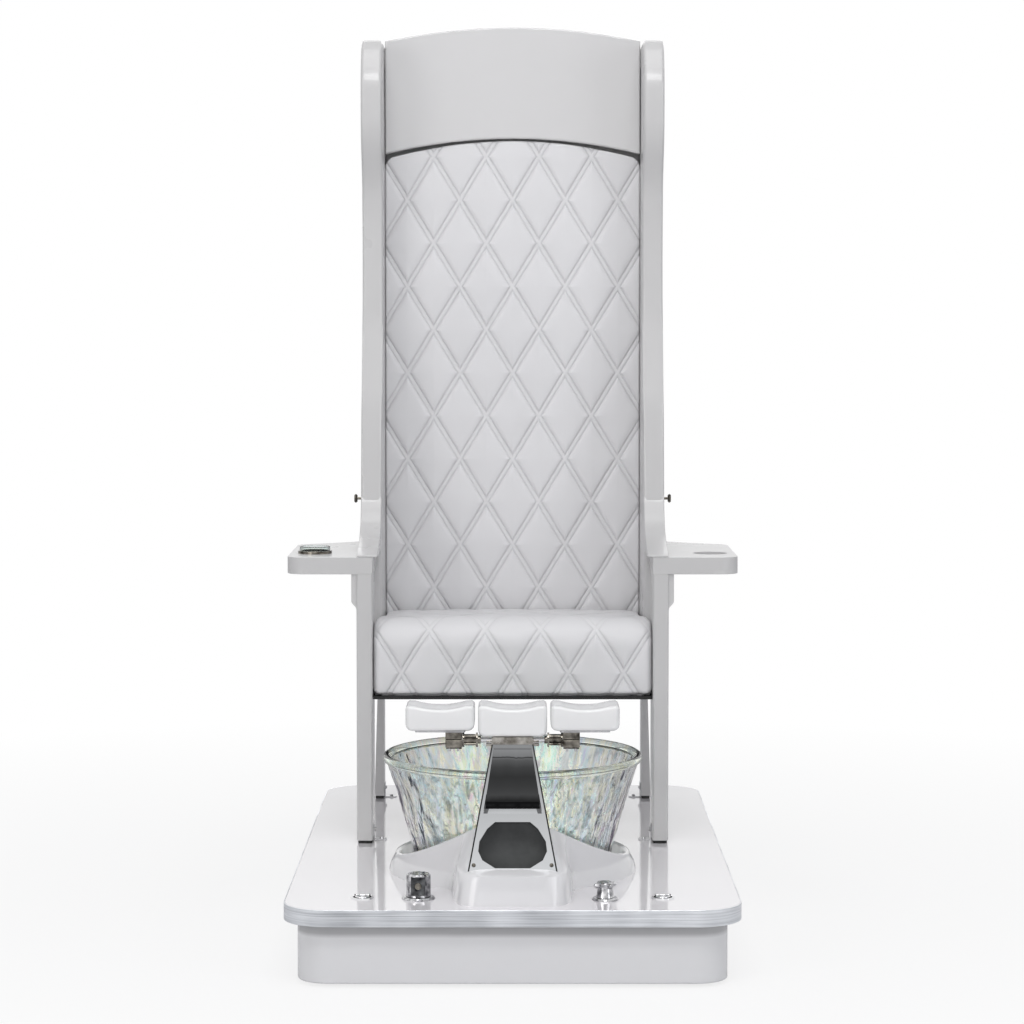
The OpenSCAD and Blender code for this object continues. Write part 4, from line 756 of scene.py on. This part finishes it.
# %% The back cushion
low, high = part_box("back_cushion")
BACK_HALF = (high[0] - low[0]) / 2 + 0.0017
BACK_LOW = low[2]
BACK_CHANNEL_Z = BACK_LOW + 5 * DIAMOND_H / 6
ARCH_RISE, ARCH_HALF = 0.030, 0.247
ARCH_MID = high[2]
BACK_FRONT = low[1] + 0.0005
BACK_REAR = high[1]
CORNER, LOW_CORNER = 0.022, 0.007
CROWN = 0.004


def back_surface(x, z):
    """How far back the leather lies at x and z, in metres along Y."""
    crown = CROWN * (x / BACK_HALF) ** 2
    return BACK_FRONT + crown + PUFF - quilt_height(x, z - BACK_CHANNEL_Z)


def edge_roll(d, radius):
    t = np.clip(1 - d / radius, 0, 1)
    return radius * (1 - np.sqrt(np.clip(1 - t * t, 0, 1)))


cols, rows = ((236, 424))
u = np.linspace(-1, 1, cols + 1)[None, :]
t = np.linspace(0, 1, rows + 1)[:, None]
top = ARCH_MID - ARCH_RISE * (u * BACK_HALF / ARCH_HALF) ** 2
z = BACK_LOW + (top - BACK_LOW) * t
near_top = np.clip(CORNER - (top - z), 0, CORNER)
near_low = np.clip(LOW_CORNER - (z - BACK_LOW), 0, LOW_CORNER)
half = BACK_HALF - CORNER + np.sqrt(CORNER ** 2 - near_top ** 2) + np.sqrt(LOW_CORNER ** 2 - near_low ** 2) - LOW_CORNER
x = u * half
inside = np.minimum(np.minimum(half - np.abs(x), top - z), z - BACK_LOW)
y = back_surface(x, z) + edge_roll(inside, 0.004)
wrinkle = cloudy(np.stack([x, z * 0.7, 0 * x], -1).reshape(-1, 3), 34, 2).reshape(x.shape)
y = y + 0.0007 * wrinkle * np.clip(inside / 0.03, 0, 1)
face = np.stack([x, y, z], -1)
edge = rim_loop(face)
side, rear = edge.copy(), edge.copy()
side[:, 1] = edge[:, 1] * 0.4 + BACK_REAR * 0.6
middle = (BACK_LOW + ARCH_MID) / 2
rear[:, 0] *= 0.988
rear[:, 1] = BACK_REAR
rear[:, 2] = middle + (rear[:, 2] - middle) * 0.994
place = np.stack([x, z - BACK_CHANNEL_Z, np.ones_like(x)], -1)
back_cushion = skin("back_cushion_leather", face, place, [side, rear], "back_cushion")
print("back cushion:", len(back_cushion.data.polygons), "faces, half width", round(BACK_HALF, 4))

# %% The seat cushion, which rolls over its nose
low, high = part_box("seat_cushion")
SEAT_HALF = (high[0] - low[0]) / 2
SEAT_FRONT, SEAT_LOW, SEAT_REAR = low[1], low[2], high[1]
NOSE, RISE = 0.052, 0.136
UP = RISE - NOSE
BEND = NOSE * math.pi / 2
FALL = math.tan(math.radians(3))
NARROW_FROM, NARROW_HALF = 0.130, 0.2467
SEAT_CORNER = 0.010
SEAT_CROWN = 0.004
SEAT_FOOT = 0.004
SEAT_CHANNEL_S = 0.0385
ALONG = SEAT_REAR - SEAT_FRONT - NOSE - 0.001
LENGTH = UP + BEND + ALONG


def seat_path(s):
    """The point and the outward step of the seat's outline at the distance s from its front foot."""
    s = np.asarray(s, float)
    turn = np.clip((s - UP) / BEND, 0, 1) * math.pi / 2
    run = np.clip(s - UP - BEND, 0, None)
    py = NOSE * (1 - np.cos(turn)) + run
    pz = np.minimum(s, UP) + NOSE * np.sin(turn) - run * FALL
    return py, pz, -np.cos(turn), np.sin(turn)


def sewn_tight(s):
    """The quilting is tight on the front and slack on top, where it is stretched over the nose."""
    past = np.clip((s - UP - 0.10 * BEND) / (0.75 * BEND), 0, 1)
    return 1 - 0.72 * past * past * (3 - 2 * past)


def seat_lift(x, s):
    swell = (quilt_height(x, s - SEAT_CHANNEL_S) - PUFF) * sewn_tight(s)
    return SEAT_CROWN * (1 - (x / SEAT_HALF) ** 2) + swell


cols, rows = ((236, 236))
u = np.linspace(-1, 1, cols + 1)[None, :]
s = (np.linspace(0, 1, rows + 1) * LENGTH)[:, None]
py, pz, ny, nz = seat_path(s)
step = np.clip((py - (NARROW_FROM - 0.012)) / 0.024, 0, 1)
half = SEAT_HALF + (NARROW_HALF - SEAT_HALF) * step * step * (3 - 2 * step)
corner = np.clip(SEAT_CORNER - s, 0, SEAT_CORNER)
half = half - SEAT_CORNER + np.sqrt(SEAT_CORNER ** 2 - corner ** 2)
x = u * half
s = s + 0 * x
beside = np.minimum(half - np.abs(x), LENGTH - s)
lift = seat_lift(x, s) - np.maximum(edge_roll(beside, 0.016), edge_roll(s, 0.007))
wrinkle = cloudy(np.stack([x, s, 0 * x], -1).reshape(-1, 3), 26, 7).reshape(x.shape)
lift = lift + 0.0006 * wrinkle * np.clip(np.minimum(beside, s) / 0.03, 0, 1)
y = SEAT_FRONT + PUFF + py + ny * lift
z = SEAT_LOW + SEAT_FOOT + pz + nz * lift
face = np.stack([x, np.minimum(y, SEAT_REAR), np.maximum(z, SEAT_LOW + 0.001)], -1)
edge = rim_loop(face)
side, foot = edge.copy(), edge.copy()
side[:, 1] = np.maximum(edge[:, 1], SEAT_FRONT + 0.006)
side[:, 2] = np.maximum(SEAT_LOW + 0.012, edge[:, 2] * 0.55 + SEAT_LOW * 0.45)
foot[:, 0] *= 0.985
foot[:, 1] = np.clip(edge[:, 1] + 0.006, SEAT_FRONT + 0.010, SEAT_REAR)
foot[:, 2] = SEAT_LOW + 0.0004
place = np.stack([x, s - SEAT_CHANNEL_S, sewn_tight(s)], -1)
seat_cushion = skin("seat_cushion_leather", face, place, [side, foot], "seat_cushion")
print("seat cushion:", len(seat_cushion.data.polygons), "faces")

# %% [markdown]
# ## Stitches
# Two rows of thread run beside each channel. A stitch is the same small bar thousands of times, so Geometry Nodes
# puts one on each of many points: the points carry the thread's direction, a tree turns a six-sided bar along it,
# and the result is baked into one plain mesh for each cushion.

# %% The tree that lays the thread
thread_finish = finish("white_thread", (0.76, 0.76, 0.77), (0.70, 0.70, 0.71), 400, 0.5, 0.7)


def stitch_tree(material):
    tree = bpy.data.node_groups.new("lay_stitches", "GeometryNodeTree")
    tree.interface.new_socket("Points", in_out="INPUT", socket_type="NodeSocketGeometry")
    for label, value in (("Stitch length", 0.003), ("Thread thickness", 0.0009)):
        tree.interface.new_socket(label, in_out="INPUT", socket_type=VALUE).default_value = value
    tree.interface.new_socket("Stitches", in_out="OUTPUT", socket_type="NodeSocketGeometry")
    given = add(tree, "NodeGroupInput").outputs
    half = calc(tree, "MULTIPLY", given["Thread thickness"], 0.5)
    bar = add(tree, "GeometryNodeMeshCylinder", {"Vertices": 6, "Radius": half, "Depth": given["Stitch length"]})
    way = add(tree, "GeometryNodeInputNamedAttribute", {"Name": "thread_way"}, data_type="FLOAT_VECTOR")
    turn = add(tree, "FunctionNodeAlignRotationToVector", {"Vector": way.outputs[0]}, axis="Z")
    lay = add(tree, "GeometryNodeInstanceOnPoints",
              {"Points": given["Points"], "Instance": bar.outputs["Mesh"], "Rotation": turn.outputs[0]})
    real = add(tree, "GeometryNodeRealizeInstances", {0: lay.outputs[0]})
    paint = add(tree, "GeometryNodeSetMaterial", {"Geometry": real.outputs[0], "Material": material})
    add(tree, "NodeGroupOutput", {0: paint.outputs[0]})
    return tree


STITCHES = stitch_tree(thread_finish)


STITCH_SIZE = {"Stitch length": 0.0032, "Thread thickness": 0.0007}


def socket_id(tree, label):
    return next(item.identifier for item in tree.interface.items_tree if item.name == label)


def lay_thread(name, points, ways, node):
    """Runs the stitch tree on loose points and keeps the plain mesh that it makes, riding with a solid's body."""
    seeds = bpy.data.meshes.new(name + "_points")
    seeds.from_pydata([tuple(p) for p in points], [], [])
    field = seeds.attributes.new("thread_way", "FLOAT_VECTOR", "POINT")
    field.data.foreach_set("vector", np.asarray(ways, np.float32).ravel())
    carrier = bpy.data.objects.new(name + "_points", seeds)
    scene.collection.objects.link(carrier)
    modifier = carrier.modifiers.new("lay", "NODES")
    modifier.node_group = STITCHES
    for label, value in STITCH_SIZE.items():
        modifier[socket_id(STITCHES, label)] = value
    bpy.context.view_layer.update()
    made = bpy.data.meshes.new_from_object(carrier.evaluated_get(bpy.context.evaluated_depsgraph_get()))
    carrier.modifiers.clear()
    bpy.data.objects.remove(carrier)
    piece = bpy.data.objects.new(name, made)
    scene.collection.objects.link(piece)
    put_on(piece, node)
    print(name + ":", len(points), "stitches")


def seam_points(u_half, v_low, v_high, pitch):
    """Points along both rows of every channel, with the channel's direction, in the quilt's own plane."""
    found, ways = [], []
    length = math.hypot(DIAMOND_W, DIAMOND_H)
    reach = int(u_half / DIAMOND_W + max(abs(v_low), abs(v_high)) / DIAMOND_H) + 2
    for sign in (1, -1):
        along = np.array([DIAMOND_W, -sign * DIAMOND_H]) / length
        across = np.array([sign * DIAMOND_H, DIAMOND_W]) / length
        for k in range(-reach, reach + 1):
            for offset in (-SEAM_HALF, SEAM_HALF):
                count = int(2.4 * (v_high - v_low) / pitch)
                run = (np.arange(-count, count) + 0.5 * (offset > 0)) * pitch
                line = np.array([k * DIAMOND_W, 0.0]) + run[:, None] * along + across * offset
                keep = (np.abs(line[:, 0]) < u_half) & (line[:, 1] > v_low) & (line[:, 1] < v_high)
                keep &= crossing_distance(line[:, 0], line[:, 1], sign) > SEAM_HALF * 0.9
                found.append(line[keep])
                ways.append(np.repeat(along[None, :], keep.sum(), 0))
    return np.vstack(found), np.vstack(ways)


def crossing_distance(u, v, sign):
    """How far a place lies from the nearest channel that runs the other way."""
    other = u / DIAMOND_W - sign * v / DIAMOND_H
    return np.abs(other - np.round(other)) / SLOPE


# %% Thread on the back
PITCH = 0.0046
FREE_EDGE = 0.012
THREAD_OUT = 0.0001
spots, ways = seam_points(BACK_HALF - FREE_EDGE, BACK_LOW - BACK_CHANNEL_Z + 0.02,
                          ARCH_MID - FREE_EDGE - BACK_CHANNEL_Z, PITCH)
arch = ARCH_MID - ARCH_RISE * (spots[:, 0] / ARCH_HALF) ** 2
under_arch = spots[:, 1] + BACK_CHANNEL_Z < arch - FREE_EDGE
spots, ways = spots[under_arch], ways[under_arch]
x, z = spots[:, 0], spots[:, 1] + BACK_CHANNEL_Z
lay_thread("back_stitches", np.stack([x, back_surface(x, z) - THREAD_OUT, z], -1),
           np.stack([ways[:, 0], 0 * x, ways[:, 1]], -1), "back_cushion")

# %% Thread on the seat
spots, ways = seam_points(0.2300, FREE_EDGE - SEAT_CHANNEL_S, LENGTH - SEAT_CHANNEL_S - 0.02, PITCH)
x, s = spots[:, 0], spots[:, 1] + SEAT_CHANNEL_S
py, pz, ny, nz = seat_path(s)
lift = seat_lift(x, s) + THREAD_OUT
y, z = SEAT_FRONT + PUFF + py + ny * lift, SEAT_LOW + SEAT_FOOT + pz + nz * lift
lay_thread("seat_stitches", np.stack([x, y, z], -1), np.stack([ways[:, 0], ways[:, 1] * nz, -ways[:, 1] * ny], -1),
           "seat_cushion")

# %% [markdown]
# ## The glass bowl
# The bowl is blown glass with a smooth rolled rim and upright ripples pressed into its wall, under a coating that
# drifts from pink to blue. Ripples are shape, not paint: a turned profile is swept round, and each point of the
# wall moves in or out by a noise that is stretched upwards. Real thickness lets the glass bend what lies behind.

# %% Turn the profile and press the ripples
low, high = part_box("glass_bowl")
BOWL_Y = (low[1] + high[1]) / 2
BOWL_FOOT, BOWL_TOP = low[2], high[2]
RIM_R = (high[0] - low[0]) / 2
FOOT_R, GLASS, RIM_D, FLOOR_T = 0.171, 0.007, 0.015, 0.009
rim_c, rim_z = RIM_R - RIM_D / 2, BOWL_TOP - RIM_D / 2


DRAIN_R, FLAT_R, HEEL_R = 0.0202, 0.09, 0.012


def wall_at(t):
    low_z = BOWL_FOOT + HEEL_R
    return FOOT_R + (rim_c + GLASS / 2 - FOOT_R) * (0.86 * t + 0.14 * t * t), low_z + (rim_z - low_z) * t


def arc(r, z, radius, degrees):
    return [(r + radius * math.cos(a), z + radius * math.sin(a)) for a in np.radians(degrees)]


profile = [(DRAIN_R, BOWL_FOOT), (FLAT_R, BOWL_FOOT), (FOOT_R - 0.016, BOWL_FOOT)]
profile += arc(FOOT_R - HEEL_R, BOWL_FOOT + HEEL_R, HEEL_R, [-80, -60, -40, -20])
wall_steps = 46
outer_from = len(profile)
profile += [wall_at(i / wall_steps) for i in range(wall_steps)]
outer_to = len(profile)
profile += arc(rim_c, rim_z, RIM_D / 2, np.linspace(-62, 242, 15))
inner_from = len(profile)
profile += [(wall_at(i / wall_steps)[0] - GLASS, wall_at(i / wall_steps)[1]) for i in range(wall_steps - 1, 1, -1)]
inner_to = len(profile)
profile += arc(FOOT_R - HEEL_R - GLASS, BOWL_FOOT + HEEL_R + FLOOR_T, HEEL_R, [-20, -45, -70, -90])
profile += [(FLAT_R, BOWL_FOOT + FLOOR_T), (DRAIN_R, BOWL_FOOT + FLOOR_T)]
profile = np.array(profile)
turns = 300
angles = np.linspace(0, 2 * math.pi, turns, endpoint=False)
radius = np.repeat(profile[:, 0][None, :], turns, 0)
height = np.repeat(profile[:, 1][None, :], turns, 0)
for k in range(outer_from, outer_to):
    t = (k - outer_from) / wall_steps
    fade = min(1, t * 8, (1 - t) * 9)
    for a, angle in enumerate(angles):
        way = Vector((math.cos(angle) * 9.5, math.sin(angle) * 9.5, t * 2.3))
        coarse = noise.noise(way + Vector((0.5 * noise.noise(way * 0.9), 0, 0)))
        ripple = coarse + 0.6 * noise.noise(way * 2.1 + Vector((5, 1, 2)))
        radius[a, k] -= fade * (0.0018 + 0.0042 * (min(abs(ripple), 0.8) - 0.35))
        facing = inner_from + outer_to - 1 - k
        if facing < inner_to:
            radius[a, facing] += fade * 0.0014 * ripple
across, along = radius * np.cos(angles)[:, None], radius * np.sin(angles)[:, None]
verts = np.stack([across, BOWL_Y + along, height], -1).reshape(-1, 3)
index = np.arange(len(verts)).reshape(turns, -1)
beside, above = np.roll(index, -1, 0), np.roll(index, -1, 1)
faces = np.stack([index, beside, np.roll(beside, -1, 1), above], -1).reshape(-1, 4).tolist()
mesh = bpy.data.meshes.new("bowl_glass")
mesh.from_pydata(verts.tolist(), [], faces)
work = bmesh.new()
work.from_mesh(mesh)
bmesh.ops.recalc_face_normals(work, faces=work.faces)
work.to_mesh(mesh)
work.free()
mesh.polygons.foreach_set("use_smooth", [True] * len(mesh.polygons))
mesh.set_sharp_from_angle(angle=math.radians(70))
mesh.materials.append(FINISHES["glass"])
mesh.materials.append(RIM_GLASS)
for face in mesh.polygons:
    face.material_index = 1 if face.center.z > rim_z - RIM_D * 0.55 else 0
bowl = bpy.data.objects.new("bowl_glass", mesh)
scene.collection.objects.link(bowl)
put_on(bowl, "glass_bowl")
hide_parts("glass_bowl")
print("bowl:", len(mesh.polygons), "faces")
